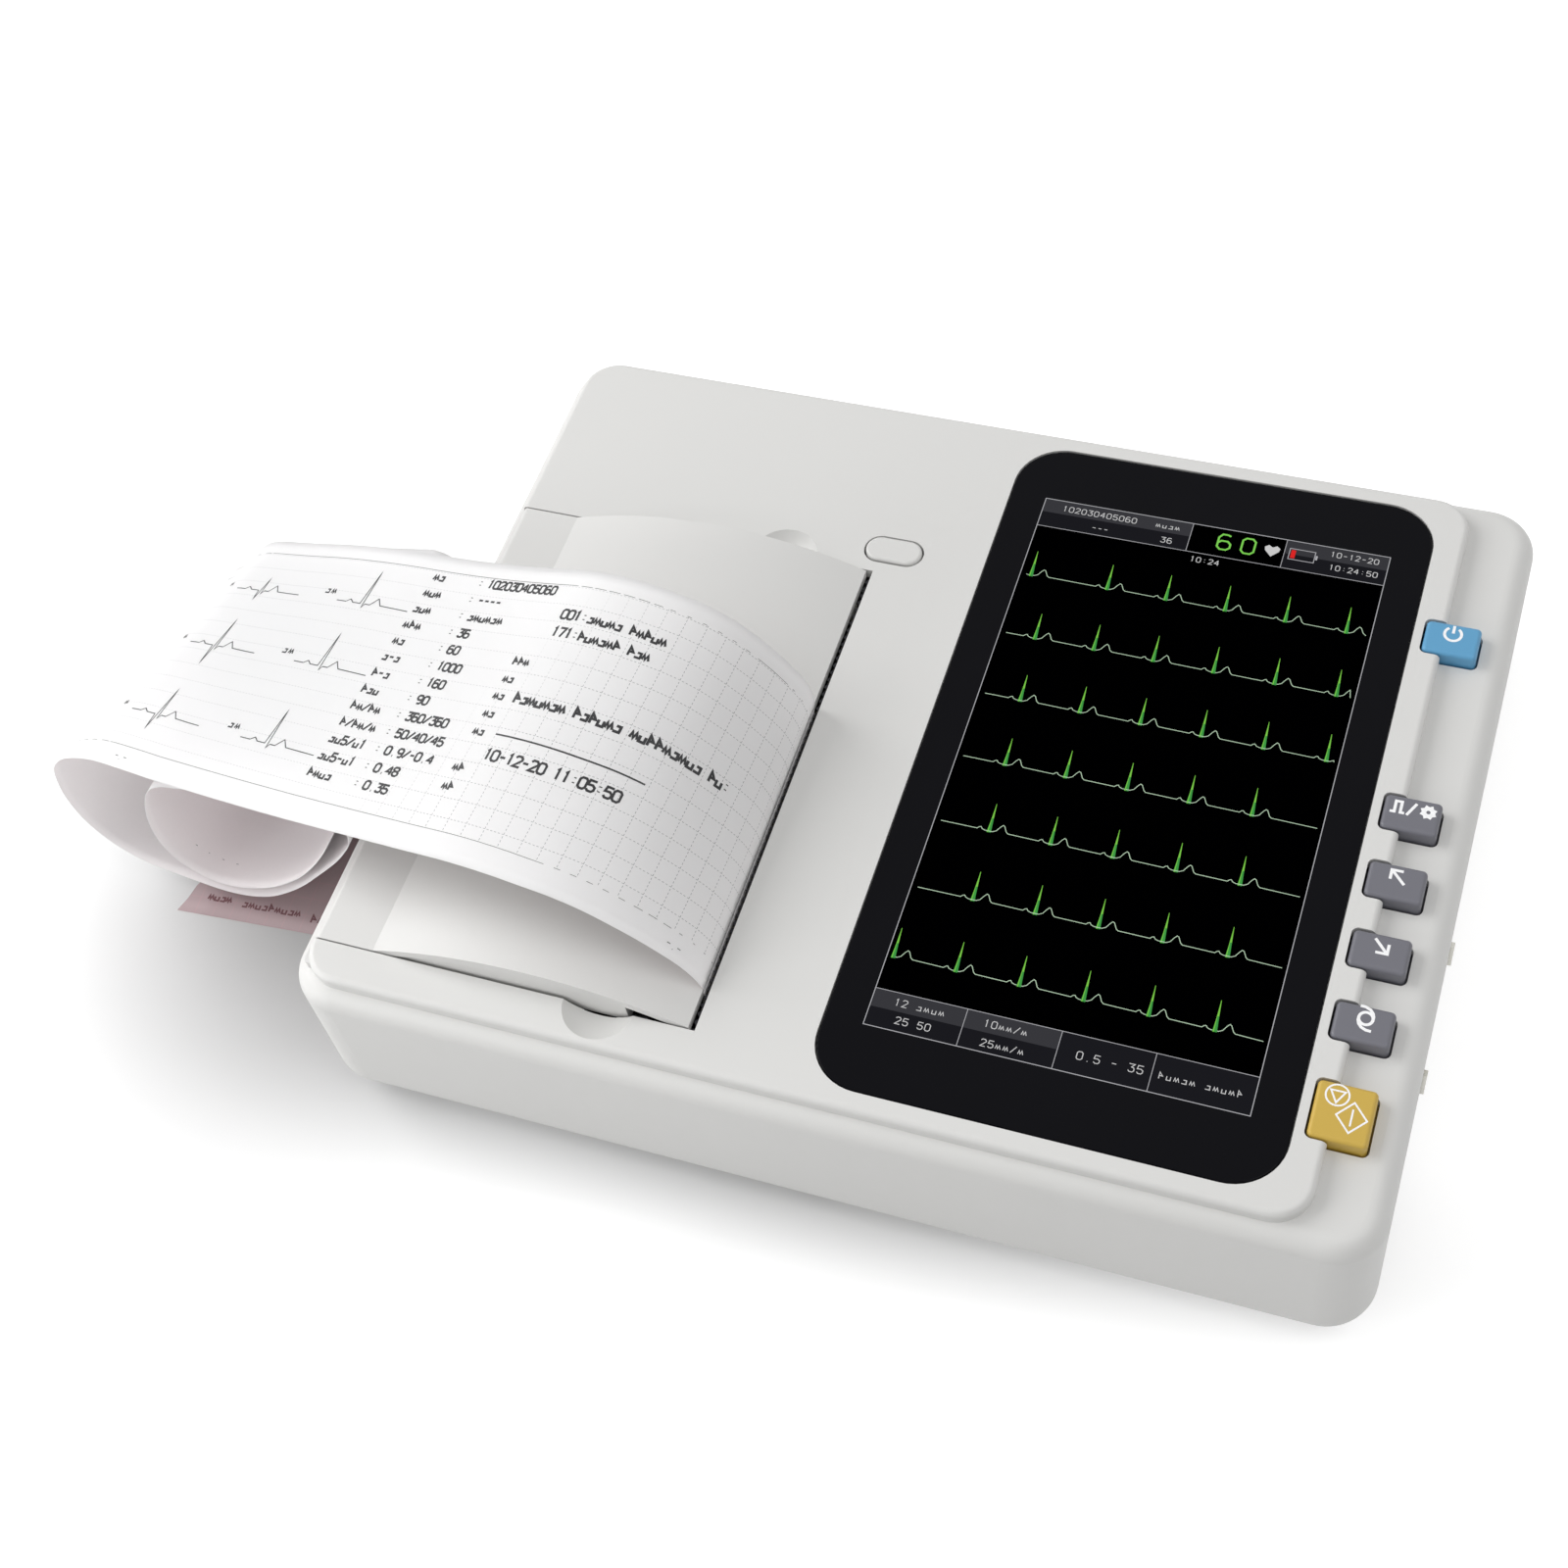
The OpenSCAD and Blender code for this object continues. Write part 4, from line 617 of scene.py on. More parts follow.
class RECORDER_OT_finishes(bpy.types.Operator):
    """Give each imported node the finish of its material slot."""

    bl_idname = "recorder.finishes"
    bl_label = "Finishes"

    def execute(self, context):
        colours = context.scene.recorder_colours
        finishes = {
            "case": moulded("case_plastic", colours.case, 0.45, 2400, 0.00001, 0.018),
            "dark_plastic": moulded("frame_plastic", (0.012, 0.012, 0.014), 0.5, 1800),
            "black_plastic": moulded("part_plastic", (0.006, 0.006, 0.007), 0.45, 2600),
            "cover_glass": polished_cover("cover_print", colours.glass),
            "display_metal": brushed("panel_metal", (0.45, 0.46, 0.48), 0.42),
            "steel": brushed("plated_steel", (0.56, 0.57, 0.59), 0.32),
            "blackened_steel": brushed("tear_steel", (0.03, 0.03, 0.033), 0.4, (900, 120, 900)),
            "nickel": brushed("nickel_plate", (0.66, 0.65, 0.6), 0.22, (900, 900, 900)),
            "gilt": brushed("gold_plate", (0.82, 0.6, 0.22), 0.22, (900, 900, 900)),
            "brass_gear": brushed("machined_brass", (0.72, 0.52, 0.22), 0.3, (1500, 90, 1500)),
            "alloy": brushed("extruded_alloy", (0.68, 0.69, 0.71), 0.35, (2400, 60, 2400)),
            "circuit_board": resist_board("board_resist", (0.012, 0.09, 0.035)),
            "battery_wrap": wrapped("battery_film", (0.02, 0.06, 0.22)),
            "dome_rubber": rubbery("dome_silicone", (0.55, 0.55, 0.53), 0.6),
            "foot_rubber": rubbery("foot_rubber", (0.02, 0.02, 0.02)),
            "platen_rubber": rubbery("platen_rubber", (0.012, 0.012, 0.012), 0.65, 3000),
            "chart": wound_paper("roll_paper", colours.paper),
            "core_board": wound_board("core_board", (0.42, 0.3, 0.17)),
            "gear_plastic": moulded("acetal", (0.72, 0.7, 0.62), 0.35, 3200, 0.000006),
            "head_ceramic": moulded("head_glaze", (0.6, 0.56, 0.46), 0.2, 4000, 0.000002),
            "blue_plastic": moulded("power_plastic", colours.power_key, 0.4, 3000, 0.000006),
            "grey_plastic": moulded("menu_plastic", colours.menu_key, 0.4, 3000, 0.000006),
            "gold_plastic": moulded("print_plastic", colours.print_key, 0.4, 3000, 0.000006),
        }
        for part in frame["record"]["subparts"]:
            mesh = NODES[part["node"]].data
            mesh.materials.clear()
            mesh.materials.append(finishes[part["material_slot"]])
        return {"FINISHED"}


class RECORDER_OT_picture(bpy.types.Operator):
    """Lay the lit picture on the cover glass: header, traces and footer."""

    bl_idname = "recorder.picture"
    bl_label = "Display picture"

    # In mm: heights of the layers over the glass, then places from the picture's middle
    LIFT = 0.02
    BLOCK_LIFT = 0.01
    RULE_LIFT = 0.02
    TRACE_LIFT = 0.03
    SPIKE_LIFT = 0.035
    CORE_LIFT = 0.04
    HEAD_HEIGHT = 8.8
    FOOT_HEIGHT = 9.4
    BAR_HEIGHT = 4.6
    HEAD_STOPS = (-5.3, 18.0)
    FOOT_STOPS = (-21.6, -0.2, 20.7)
    LINE_WIDTH = 0.16
    TRACES = 7
    TRACE_TOP = 52.6
    TRACE_PITCH = 18.6
    TRACE_ENDS = (-41.4, 41.8)
    BEAT_START = -35.6
    BEAT_SHIFT = 1.45
    BEAT_PITCH = 14.55
    BEAT_ENDS = (-41.9, 41.0)
    EARLY_BEAT = -40.2
    BEAT = ((-2.9, 0), (-2.5, 0.45), (-2.1, 0.6), (-1.7, 0.1), (-1.0, -0.15), (0.8, -0.15), (1.6, 0.3),
            (2.3, 1.5), (2.8, 2.1), (3.2, 1.9), (3.9, 0.5), (4.4, 0.1))
    SPIKE = ((-0.55, -0.5), (0.5, -0.5), (0.14, 3.4), (-0.3, 3.4))
    SPIKE_TIP = ((-0.3, 3.4), (0.14, 3.4), (-0.2, 7.4), (-0.32, 7.4))
    SPIKE_CORE = ((-0.42, -0.5), (-0.18, -0.5), (-0.26, 5.6), (-0.32, 5.6))
    HEART = ((15, 71.0), (16.7, 72.8), (16.9, 73.8), (16.0, 74.5), (15, 73.9), (14.0, 74.5),
             (13.1, 73.8), (13.3, 72.8))
    BATTERY = ((19.2, 71.3), (25.4, 71.3), (25.4, 74.6), (19.2, 74.6))
    BATTERY_KNOB = (25.6, 72.3, 26.1, 73.6)
    CHARGE = (19.6, 71.7, 20.7, 74.2)
    # Text, left end, foot and height
    RATE = (("6", 1.7, 70.6, 4.7), ("0", 7.6, 70.6, 4.7))
    TEXTS = (("102030405060", -37.9, 73.9, 1.6), ("~_=~", -14.2, 74.0, 1.6), ("---", -29.4, 69.6, 1.5),
             ("36", -12.0, 69.6, 1.6), ("10:24", -3.6, 65.4, 1.5), ("10-12-20", 29.0, 74.2, 1.5),
             ("10:24:50", 29.4, 70.2, 1.5), ("12 =~_~", -37.7, -70.9, 1.7), ("25 50", -36.3, -75.2, 1.7),
             ("10~~/~", -17.2, -70.9, 1.7), ("25~~/~", -16.7, -75.6, 1.7), ("0.5 - 35", 4.2, -73.4, 1.9),
             ("^_~=~ =~_~^", 22.2, -73.4, 1.7))

    def beats(self, row):
        """Places of the beats along a trace."""
        first = self.BEAT_START + self.BEAT_SHIFT * row
        beats = [first + self.BEAT_PITCH * i for i in range(-1, 7)]
        if row == 0:
            beats[1] = self.EARLY_BEAT
        low, high = self.BEAT_ENDS
        return [x for x in beats if low < x < high]

    def execute(self, context):
        sizes = context.scene.recorder_sizes
        colours = context.scene.recorder_colours
        half_w = sizes.picture_width / MM / 2
        half_h = sizes.picture_height / MM / 2
        inks = {"black": (0.0001, 0.0001, 0.0002), "line": (0.42, 0.42, 0.44), "bar": (0.04, 0.04, 0.046),
                "cell": (0.011, 0.011, 0.014), "trace": colours.trace, "spike": colours.spike,
                "rate": (0.2, 0.62, 0.09), "figures": (0.6, 0.6, 0.6), "alarm": (0.72, 0.02, 0.02),
                "tip": (0.2, 0.58, 0.07)}
        black, line, bar, cell, trace, spike, rate, pale, alarm, tip = range(len(inks))

        def onto(x, y, lift):
            return Vector((GLASS.x + x * MM, GLASS.y + y * MM, GLASS_TOP + (self.LIFT + lift) * MM))

        draw = Drawing(onto, [lit("lit_" + name, colour) for name, colour in inks.items()])

        def block(x0, y0, x1, y1, ink, lift=self.BLOCK_LIFT):
            draw.patch([(x0, y0), (x1, y0), (x1, y1), (x0, y1)], ink, lift)

        def rule(*path, width=self.LINE_WIDTH, closed=False):
            draw.stroke(path, width, line, self.RULE_LIFT, closed, draw.UNCUT)

        head_y, foot_y = half_h - self.HEAD_HEIGHT, self.FOOT_HEIGHT - half_h
        block(-half_w, -half_h, half_w, half_h, black, 0)
        low, high = self.HEAD_STOPS
        for x0, x1 in ((-half_w, low), (high, half_w)):
            block(x0, head_y, x1, head_y + self.BAR_HEIGHT, cell)
            block(x0, head_y + self.BAR_HEIGHT, x1, half_h, bar)
        stops = (-half_w, *self.FOOT_STOPS, half_w)
        for x0, x1, upper in zip(stops, stops[1:], (bar, bar, cell, cell)):
            block(x0, -half_h, x1, foot_y - self.BAR_HEIGHT, cell)
            block(x0, foot_y - self.BAR_HEIGHT, x1, foot_y, upper)
        rule((-half_w, -half_h), (half_w, -half_h), (half_w, half_h), (-half_w, half_h),
             width=self.LINE_WIDTH * 1.3, closed=True)
        for y in (head_y, foot_y):
            rule((-half_w, y), (half_w, y))
        for x in self.HEAD_STOPS:
            rule((x, head_y), (x, half_h))
        for x in self.FOOT_STOPS:
            rule((x, -half_h), (x, foot_y))

        left, right = self.TRACE_ENDS
        for row in range(self.TRACES):
            base = self.TRACE_TOP - self.TRACE_PITCH * row
            path = [(left, base)]
            for beat in self.beats(row):
                path += [(beat + x, base + y) for x, y in self.BEAT if left < beat + x < right]
            path.append((right, base - 0.1 if path[-1][1] > base else base))
            path.sort()
            draw.stroke(path, sizes.trace_width / MM, trace, self.TRACE_LIFT)
            for beat in self.beats(row):
                for outline, ink, layer in ((self.SPIKE, spike, self.SPIKE_LIFT),
                                            (self.SPIKE_TIP, tip, self.SPIKE_LIFT),
                                            (self.SPIKE_CORE, tip, self.CORE_LIFT)):
                    draw.patch([(beat + x, base + y) for x, y in outline], ink, layer)

        lift = self.TRACE_LIFT
        for text, x, y, height in self.RATE:
            draw.figures(text, x, y, height, 0.5, ink=rate, lift=lift)
        draw.patch(self.HEART, pale, lift)
        draw.stroke(self.BATTERY, 0.2, line, lift, closed=True)
        block(*self.CHARGE, alarm, lift)
        block(*self.BATTERY_KNOB, line, lift)
        for text, x, y, height in self.TEXTS:
            draw.figures(text, x, y, height, 0.2, ink=pale, lift=lift)
        draw.piece("display_picture", "root")
        return {"FINISHED"}


class RECORDER_OT_key_marks(bpy.types.Operator):
    """Print the marks on the keys."""

    bl_idname = "recorder.key_marks"
    bl_label = "Key marks"

    # Growth of the marks, their way to the rear and up in mm, and the print key's share of line width
    GROW = 1.12
    RAISE = 0.6
    LIFT = 0.02
    THIN = 0.6

    def marks(self, key):
        """Open and closed paths of a key's mark, in mm from its middle."""
        if key == "power":
            return [ring(0, 0.7, 1.75, 125, 415, 24), [(0, 0.9), (0, 2.9)]]
        if key == "mode":
            teeth = [ring(3.1, 0.7, 1.35 if i % 2 else 1.0, 22.5 * i)[0] for i in range(17)]
            return [[(-4.4, -0.6), (-3.5, -0.6), (-3.5, 2.0), (-2.3, 2.0), (-2.3, -0.6), (-1.5, -0.6)],
                    [(-1.0, -0.9), (0.6, 2.2)], teeth, ring(3.1, 0.7, 0.72)]
        if key == "up":
            return [[(1.6, -0.9), (-1.2, 2.0)], [(-1.3, -0.1), (-1.3, 2.1), (1.0, 2.1)]]
        if key == "down":
            return [[(-1.4, 2.2), (1.3, -0.7)], [(1.4, 1.4), (1.4, -0.8), (-0.9, -0.8)]]
        if key == "rotate":
            arm = [ring(0.2, 0.7, radius, turn)[0] for turn, radius in
                   ((180, 1.35), (205, 1.5), (230, 1.75), (255, 2.1), (280, 2.5), (300, 2.9))]
            other = [(0.4 - x, 1.4 - y) for x, y in arm]
            return [ring(0.2, 0.7, 1.35), arm, other]
        diamond = [(1.7, 2.0), (4.6, -1.2), (1.7, -4.4), (-1.2, -1.2), (1.7, 2.0)]
        return [ring(-1.7, 2.8, 2.2), [(-3.1, 3.7), (-0.3, 3.7), (-1.7, 1.2), (-3.1, 3.7)], diamond,
                [(1.7, 0.6), (1.7, -3.0)]]

    def execute(self, context):
        ink = inked("key_ink", (0.93, 0.93, 0.94))
        width = context.scene.recorder_sizes.mark_width / MM
        for key in KEYS:
            middle = node_middle("key_" + key)
            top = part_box("key_" + key)[1].z

            def onto(x, y, lift, middle=middle, top=top):
                return Vector((middle.x + x * self.GROW * MM, middle.y + (y * self.GROW + self.RAISE) * MM,
                               top + (self.LIFT + lift) * MM))

            draw = Drawing(onto, [ink])
            for path in self.marks(key):
                draw.stroke(path, width * self.THIN if key == "print" else width)
            draw.piece("mark_" + key, "button_" + key)
        return {"FINISHED"}


class RECORDER_OT_springs(bpy.types.Operator):
    """Copy the key domes and the springs in place of their nodes."""

    bl_idname = "recorder.springs"
    bl_label = "Domes and springs"

    DOME_REACH = 0.006

    def soft_copy(self, name, node, slot, body, axis, middle=None):
        """A copy of a node, or of its dome round a middle, in place of the node."""
        shape = node_shape(node)
        if middle is not None:
            apart = [v for v in shape.verts if abs(v.co.y - middle) > self.DOME_REACH]
            bmesh.ops.delete(shape, geom=apart, context="VERTS")
        mesh = bpy.data.meshes.new(name)
        shape.to_mesh(mesh)
        shape.free()
        mesh.materials.clear()
        mesh.materials.append(NODES[node].data.materials[0])
        piece = placed(name, mesh)
        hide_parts(node)
        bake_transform(piece)

    def execute(self, context):
        for key in KEYS:
            self.soft_copy("dome_" + key, "keypad_domes", "dome_rubber", "button_" + key, (0, 0, 1),
                           node_middle("key_" + key).y)
        self.soft_copy("release_coil", "release_spring", "steel", "release", (0, 0, 1))
        self.soft_copy("head_coils", "head_springs", "steel", "head", (-1, 0, 0))
        return {"FINISHED"}


class RECORDER_OT_chart_strip(bpy.types.Operator):
    """Curl the printed chart strip out of the slot and over the left side."""

    bl_idname = "recorder.chart_strip"
    bl_label = "Chart strip"

    ACROSS = 32
    # Where the strip begins and ends at the door, in metres from the case's middle
    FOLD = ((-0.140, 0.0, 0.066), (-0.1254, 0.0, 0.0913))
    SOFT = {"Subsurface_Weight": 0.4, "Subsurface_Scale": 0.002, "Subsurface_Radius": (1.0, 0.9, 0.9)}
    # In mm: plain edges, half a grid line, a dash in each mm, fade of the cross lines, lift of the print
    MARGINS = (6.6, 75.4)
    LINE = 0.075
    DASH = 0.55
    FADE = (84.0, 112.0)
    PRINT_LIFT = 0.085
    # The torn piece in metres: front corner from the case's middle, size, tear, and how it lies
    TAIL_CORNER = (-0.1905, -0.0656)
    TAIL_LENGTH = 0.054
    TAIL_GRID = (20, 6)
    TAIL_TEAR = 0.004
    TAIL_NOTCH = 0.012
    TAIL_RAGGED = 0.0004
    TAIL_TURN = math.radians(3.5)
    TAIL_LIFT = math.radians(0.6)
    TAIL_GAP = 0.00005
    TAIL_PRINT_LIFT = 0.00002
    # Text, left end, foot, height, line width and spread
    TAIL_TEXTS = (("~_=~", 7.0, 4.6, 2.2, 0.55, 0.78), ("=~_=^~_=~", 17.0, 4.2, 2.2, 0.5, 0.86),
                  ("^~=_~", 37.0, 3.2, 2.4, 0.5, 0.9), ("~_=^~_", 5.0, 11.5, 2.4, 0.4, 0.8))
    # Label and value of each row of the table from the top down, then units and their feet
    TABLE = (("~=", "102030405060"), ("~_~", "----"), ("=_~", "=~_~=~"), ("~^~", "36"), ("~=", "60"),
             ("=-=", "1000"), ("^-=", "160"), ("^=_", "90"), ("^~/^~", "360/360"), ("^/^~/~", "50/40/45"),
             ("=_5/_1", "0.9/-0.4"), ("=_5-_1", "0.48"), ("^~_=", "0.35"))
    UNITS = (("^^~", 52.0), ("~=", 47.0), ("~=", 42.2), ("~=", 37.2), ("~=", 32.2), ("~^", 22.2),
             ("~^", 17.0))
    TABLE_TOP = 72.4
    TABLE_PITCH = 5.0
    # Foot of each row of traces with height and dip of its left beat, then both beats' line and place
    TRACES = ((62.0, 4.6, -3.4), (42.0, 9.5, -6.5), (17.8, 9.0, -5.0))
    LEFT_BEAT = (-184.0, -174.4)
    RIGHT_BEAT = (-146.0, -137.4)
    RIGHT_TALL = 10.5
    TRACE_WIDTH = 0.26

    def fibrous(self, name, tint, dark, light, roughness, **uniform):
        """Paper with a fine fibre: its finish and its plain colour."""
        finish = Finish(name, **uniform)
        fibre = finish.noise(1500, 4)
        finish.rough(roughness, (fibre, 0.12))
        finish.bump(fibre, 0.00001)
        return finish, finish.blend(fibre, shade(tint, dark), shade(tint, light))

    def front(self, colours, sizes, page):
        """Thermal paper with its printed grid, faint except near the slot."""
        finish, plain = self.fibrous("chart_print", colours.paper, 0.985, 1.01, 0.5, IOR=1.45, **self.SOFT)
        u, v, _ = finish.axes(finish.node("ShaderNodeUVMap", {"uv_map": "sheet"}))
        along, across = u * page.length, v * page.width
        pitch = sizes.grid_pitch / MM
        low, high = self.MARGINS
        inside = (across > low) * (across < high)
        long_lines, cross_lines = (
            (abs(place % pitch - pitch / 2) > pitch / 2 - self.LINE) * inside for place in (across, along))
        dashes, cross_dashes = (place % 1.0 < self.DASH for place in (along, across))
        # Cross lines fade out sooner at the rear edge than at the front one
        near = finish.ramp(along + across * 0.55, *self.FADE, 1.0, 0.0)
        line = long_lines * dashes * (0.34 + near * 0.4) + cross_lines * cross_dashes * near * 0.8
        finish.feed("Base Color", finish.blend(line, plain, (0.2, 0.2, 0.21, 1)))
        return finish.material

    def back(self, colours):
        """Uncoated back of the paper."""
        red, green, blue = colours.paper
        finish, plain = self.fibrous("chart_back", (red, green * 0.95, blue * 0.955), 0.98, 1.02, 0.65,
                                    IOR=1.4, **self.SOFT)
        finish.feed("Base Color", plain)
        return finish.material

    def painted_shade_print(self, colours, sizes):
        """Print side of the torn strip: a pinkish tint of the paper, darkened as painted shade, with a red
        grid.
        """
        red, green, blue = colours.paper
        # Painted shade: the paper colour scaled down to 0.43, 0.33 and 0.34, partly for its pink tint and
        # mostly for the shadow under the curl
        finish, plain = self.fibrous("tail_print", (red * 0.43, green * 0.33, blue * 0.34), 0.97, 1.02, 0.55,
                                    IOR=1.45)
        x, y, _ = finish.axes(finish.node("ShaderNodeUVMap", {"uv_map": "sheet"}))
        lines = [abs(place / sizes.grid_pitch % 1.0 - 0.5) > 0.475 for place in (x, y)]
        lines = math_node("MAXIMUM", *lines) * 0.25
        finish.feed("Base Color", finish.blend(lines, plain, (0.55, 0.3, 0.33, 1)))
        return finish.material

    def tail(self, colours, sizes):
        """Torn end of a strip, lying under the curl, and its faded print; its print side is darkened as
        painted shade.
        """
        width, thickness = sizes.paper_width, sizes.paper_thickness
        corner = from_case(*self.TAIL_CORNER, 0)
        turn = Matrix.Rotation(self.TAIL_TURN, 3, "Z") @ Matrix.Rotation(self.TAIL_LIFT, 3, "X")

        def at(x, y, lift):
            return corner + turn @ Vector((x, y, lift))

        rows, columns = self.TAIL_GRID
        places = []
        for i in range(rows + 1):
            y = width * i / rows
            tear = self.TAIL_TEAR * min(y / self.TAIL_NOTCH, (width - y) / (width - self.TAIL_NOTCH))
            tear += self.TAIL_RAGGED * math.sin(i * 2.7)
            places += [(tear + (self.TAIL_LENGTH - tear) * j / columns, y) for j in range(columns + 1)]
        top = thickness + self.TAIL_GAP
        piece = paper_piece("chart_tail", [at(x, y, top) for x, y in places], places, columns,
                            [self.painted_shade_print(colours, sizes)], "root", thickness)
        draw = Drawing(lambda x, y, lift: at(x * MM, y * MM, top + self.TAIL_PRINT_LIFT + lift * MM),
                       [inked("tail_ink", (0.16, 0.07, 0.08))])
        for text, x, y, height, bold, spread in self.TAIL_TEXTS:
            draw.figures(text, x, y, height, bold, spread)
        return piece, draw.piece("tail_marks", "root")

    def strip(self, page, materials, thickness):
        """The strip from the slot to the end of its curl."""
        sections = len(page.front)
        cells = [(i, j) for i in range(sections) for j in range(self.ACROSS + 1)]
        points = [page.at(i * page.step, page.width * j / self.ACROSS, thickness / MM / 2) for i, j in cells]
        places = [(i / (sections - 1), j / self.ACROSS) for i, j in cells]
        return paper_piece("chart_strip", points, places, self.ACROSS, materials, None, thickness)

    def trace(self, draw, left, beat, base, tall, dip):
        """One beat of a printed trace, with its line to the left and the right."""
        for path in (
                [(left, base), (left + 3.2, base), (left + 4.4, base + 0.9), (left + 5.6, base),
                 (beat - 1.1, base)],
                [(beat - 1.1, base), (beat - 0.5, base + dip), (beat, base + tall),
                 (beat + 0.6, base - 1.2), (beat + 1.2, base)],
                [(beat + 1.2, base), (beat + 2.8, base), (beat + 4.6, base + 2.2),
                 (beat + 6.2, base + 0.2), (left + 24.0, base)]):
            draw.stroke(path, self.TRACE_WIDTH)

    def print_marks(self, page, ink):
        """Traces, columns of figures, lines and underline, as a printer would place them."""
        draw = Drawing(lambda x, y, lift: page.at(-x, y, self.PRINT_LIFT + lift), [ink])
        for base, tall, dip in self.TRACES:
            self.trace(draw, *self.LEFT_BEAT, base, tall, dip)
            self.trace(draw, *self.RIGHT_BEAT, base, self.RIGHT_TALL, 0.0)
            draw.figures("=~", -151.6, base + 1.8, 2.1, 0.42)
            draw.figures("~", -189.0, base + 1.4, 2.0, 0.36)
        for i, (label, value) in enumerate(self.TABLE):
            height = self.TABLE_TOP - self.TABLE_PITCH * i
            draw.figures(label, -120.6, height, 2.3, 0.56, 0.82)
            draw.figures(":", -106.2, height, 2.2, 0.56)
            draw.figures(value, -103.0, height, 2.3, 0.56, 0.82)
        for unit, height in self.UNITS:
            draw.figures(unit, -81.6, height, 2.1, 0.56, 0.82)
        draw.figures("001:=~_~= ^~^_~", -75.0, 66.0, 2.5, 0.6, 0.76)
        draw.figures("171:^_~=~^ ^=~", -75.0, 61.0, 2.5, 0.6, 0.76)
        draw.figures("^=~_~=~ ^=^_~= ~_^^~=~_= ^_:", -75.4, 42.0, 2.8, 0.7, 0.74)
        draw.stroke([(-75.0, 33.2), (-36.0, 33.2)], 0.42)
        draw.figures("10-12-20 11:05:50", -75.0, 26.4, 2.7, 0.6, 0.78)
        for height in self.MARGINS:
            draw.stroke([(-page.length + 2, height), (-1.0, height)], 0.12, step=4.0)
        for left in (-177.0, -15.5):
            draw.figures("-.-", left, 2.4, 1.8, 0.2, 0.8)
        return draw.piece("chart_marks", None)

    def execute(self, context):
        sizes = context.scene.recorder_sizes
        colours = context.scene.recorder_colours
        page = Page(sizes.paper_width / MM)
        materials = [self.front(colours, sizes, page), self.back(colours)]
        strip = self.strip(page, materials, sizes.paper_thickness)
        marks = self.print_marks(page, inked("chart_ink", (0.012, 0.012, 0.014)))
        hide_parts("chart_paper")
        for piece in (strip, marks):
            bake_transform(piece)
        tail, tail_marks = self.tail(colours, sizes)
        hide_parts("chart_paper")
        return {"FINISHED"}


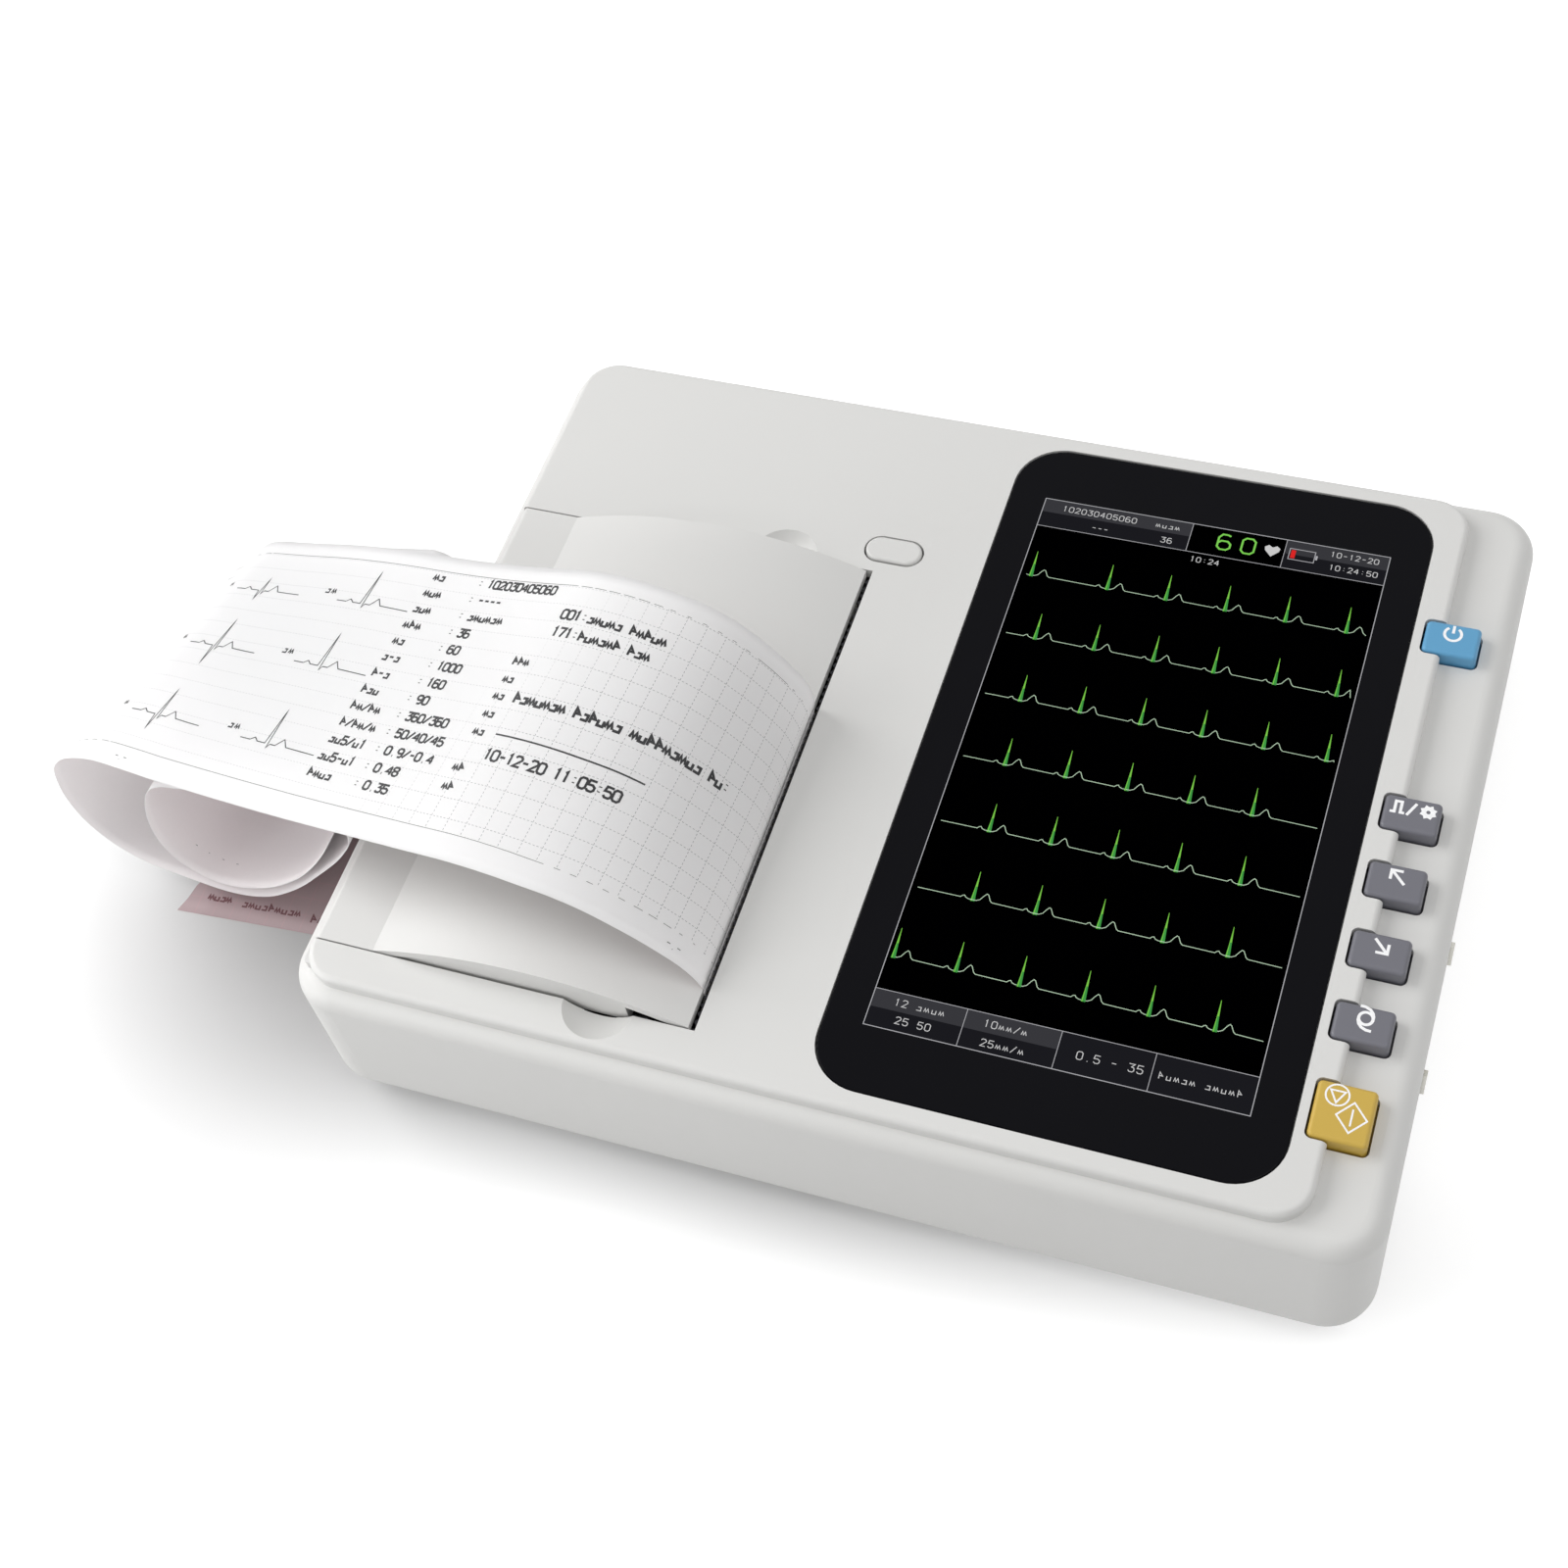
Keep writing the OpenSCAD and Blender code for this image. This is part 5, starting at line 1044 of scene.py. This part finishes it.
class RECORDER_OT_stage(bpy.types.Operator):
    """Set the floor, the soft lamps and the camera."""

    bl_idname = "recorder.stage"
    bl_label = "Stage"

    # Place from the case's middle and reach of sight in metres, turns in degrees, lens and sensor in mm
    CAMERA_PLACE = (0.1275, -0.3038, 0.5258)
    CAMERA_TURNS = (33.73, 7.03, 18.54)
    LENS = 55.66
    SENSOR = 36
    SIGHT = 20
    # Name, place and target from the case's middle, width in metres and power in watts
    LAMPS = (("key_lamp", (-1.2, 0.1, 0.9), (0.0, 0.0, 0.03), 1.1, 12.5),
             ("fill_lamp", (0.9, -0.1, 1.7), (0.0, 0.0, 0.03), 1.2, 7.5),
             ("front_lamp", (-0.5, -0.5, 0.25), (-0.1, -0.1, 0.03), 0.35, 1.3))
    AMBIENT = 0.5
    WHITE = (1, 1, 1, 1)
    # Middle from the case's middle, and reach along X and Y, of the painted soft shades under curl and front
    PAINTED_SHADES = (((-0.15, -0.06), (0.13, 0.13)), ((-0.02, -0.08), (0.19, 0.058)))
    PAINTED_SHADE_LEVEL = 0.6
    # What the floor sends back to other surfaces, and where and how its own glow grows outward
    BOUNCE = 0.5
    BOUNCE_GLOW = (0.17, 0.17, 0.17, 1)
    GLOW_SPAN = (0.45, 1.4)
    GLOW = (0.5, 1.0)
    FLOOR_HALF = 4

    def floor(self, colour):
        """A pale floor that runs out to white, with the shadow of what stands on it, and soft shades painted
        into its colour and glow under the curl and in front of the case.
        """
        finish = Finish("studio_floor", Specular_IOR_Level=0.1, Emission_Strength=1.0)
        point = finish.point()
        # Painted shade: the floor's colour and glow darken round each of these places, whatever the lamps do
        clear = 1.0
        for (x, y), reach in self.PAINTED_SHADES:
            offset = finish.vector("SUBTRACT", point, from_case(x, y, 0))
            share = finish.vector("LENGTH", finish.vector("DIVIDE", offset, (*reach, 1)), output="Value")
            clear = finish.ramp(share, 0.0, 1.0, kind="SMOOTHSTEP") * clear
        seen = finish.seen()
        shown = finish.blend(clear, shade(colour, self.PAINTED_SHADE_LEVEL), shade(colour, 1.0))
        finish.feed("Base Color", finish.blend(seen, shade(colour, self.BOUNCE), shown))
        finish.rough(0.85, (finish.noise(40, 3), 0.05))
        glow = finish.ramp(finish.vector("LENGTH", point, output="Value"), *self.GLOW_SPAN, *self.GLOW)
        finish.feed("Emission Color", finish.blend(seen, self.BOUNCE_GLOW, glow * clear))
        half = self.FLOOR_HALF
        corners = [(-half, -half, 0), (half, -half, 0), (half, half, 0), (-half, half, 0)]
        mesh_piece("floor", corners, [(0, 1, 2, 3)], [finish.material], None)

    def lamp(self, name, place, target, size, power):
        """A round soft lamp turned to its target."""
        data = bpy.data.lights.new(name, "AREA")
        data.shape = "DISK"
        data.size = size
        data.energy = power
        lamp = placed(name, data)
        lamp.location = from_case(*place)
        way = from_case(*target) - from_case(*place)
        lamp.rotation_euler = way.to_track_quat("-Z", "Y").to_euler()

    def sky(self):
        """Even white light all round, shown as a white backdrop."""
        world = bpy.data.worlds.new("studio")
        world.use_nodes = True
        nodes = Nodes(world.node_tree)
        light = nodes.tree.nodes["Background"]
        light.inputs["Color"].default_value = self.WHITE
        light.inputs["Strength"].default_value = self.AMBIENT
        backdrop = nodes.node("ShaderNodeBackground", None, {"Color": self.WHITE})
        mix = nodes.node("ShaderNodeMixShader", None,
                         {0: nodes.seen(), 1: Wire(nodes.tree, light.outputs[0]), 2: backdrop})
        nodes.tree.links.new(mix.socket, nodes.tree.nodes["World Output"].inputs["Surface"])
        return world

    def execute(self, context):
        scene = context.scene
        self.floor(scene.recorder_colours.floor)
        for lamp in self.LAMPS:
            self.lamp(*lamp)
        scene.world = self.sky()
        scene.view_settings.view_transform = "Standard"

        data = bpy.data.cameras.new("camera")
        data.lens = self.LENS
        data.sensor_width = self.SENSOR
        data.clip_end = self.SIGHT
        camera = placed("camera", data)
        camera.location = from_case(*self.CAMERA_PLACE)
        camera.rotation_euler = [math.radians(turn) for turn in self.CAMERA_TURNS]
        scene.camera = camera
        return {"FINISHED"}


class RECORDER_PT_panel(bpy.types.Panel):
    """Recorder tools in the sidebar."""

    bl_idname = "RECORDER_PT_panel"
    bl_label = "Recorder"
    bl_space_type = "VIEW_3D"
    bl_region_type = "UI"
    bl_category = "Recorder"

    def draw(self, context):
        for step in STEPS:
            self.layout.operator(step.bl_idname)
        for group in (context.scene.recorder_sizes, context.scene.recorder_colours):
            for name in group.bl_rna.properties.keys():
                if name not in ("rna_type", "name"):
                    self.layout.prop(group, name)


STEPS = (RECORDER_OT_stage, RECORDER_OT_finishes, RECORDER_OT_picture, RECORDER_OT_key_marks,
         RECORDER_OT_springs, RECORDER_OT_chart_strip)
CLASSES = (RecorderSizes, RecorderColours, *STEPS, RECORDER_PT_panel)


def register():
    for item in CLASSES:
        bpy.utils.register_class(item)
    bpy.types.Scene.recorder_sizes = bpy.props.PointerProperty(type=RecorderSizes)
    bpy.types.Scene.recorder_colours = bpy.props.PointerProperty(type=RecorderColours)


def unregister():
    del bpy.types.Scene.recorder_sizes
    del bpy.types.Scene.recorder_colours
    for item in reversed(CLASSES):
        bpy.utils.unregister_class(item)


def main():
    register()
    for step in STEPS:
        group, name = step.bl_idname.split(".")
        getattr(getattr(bpy.ops, group), name)()


if __name__ == "__main__":
    main()
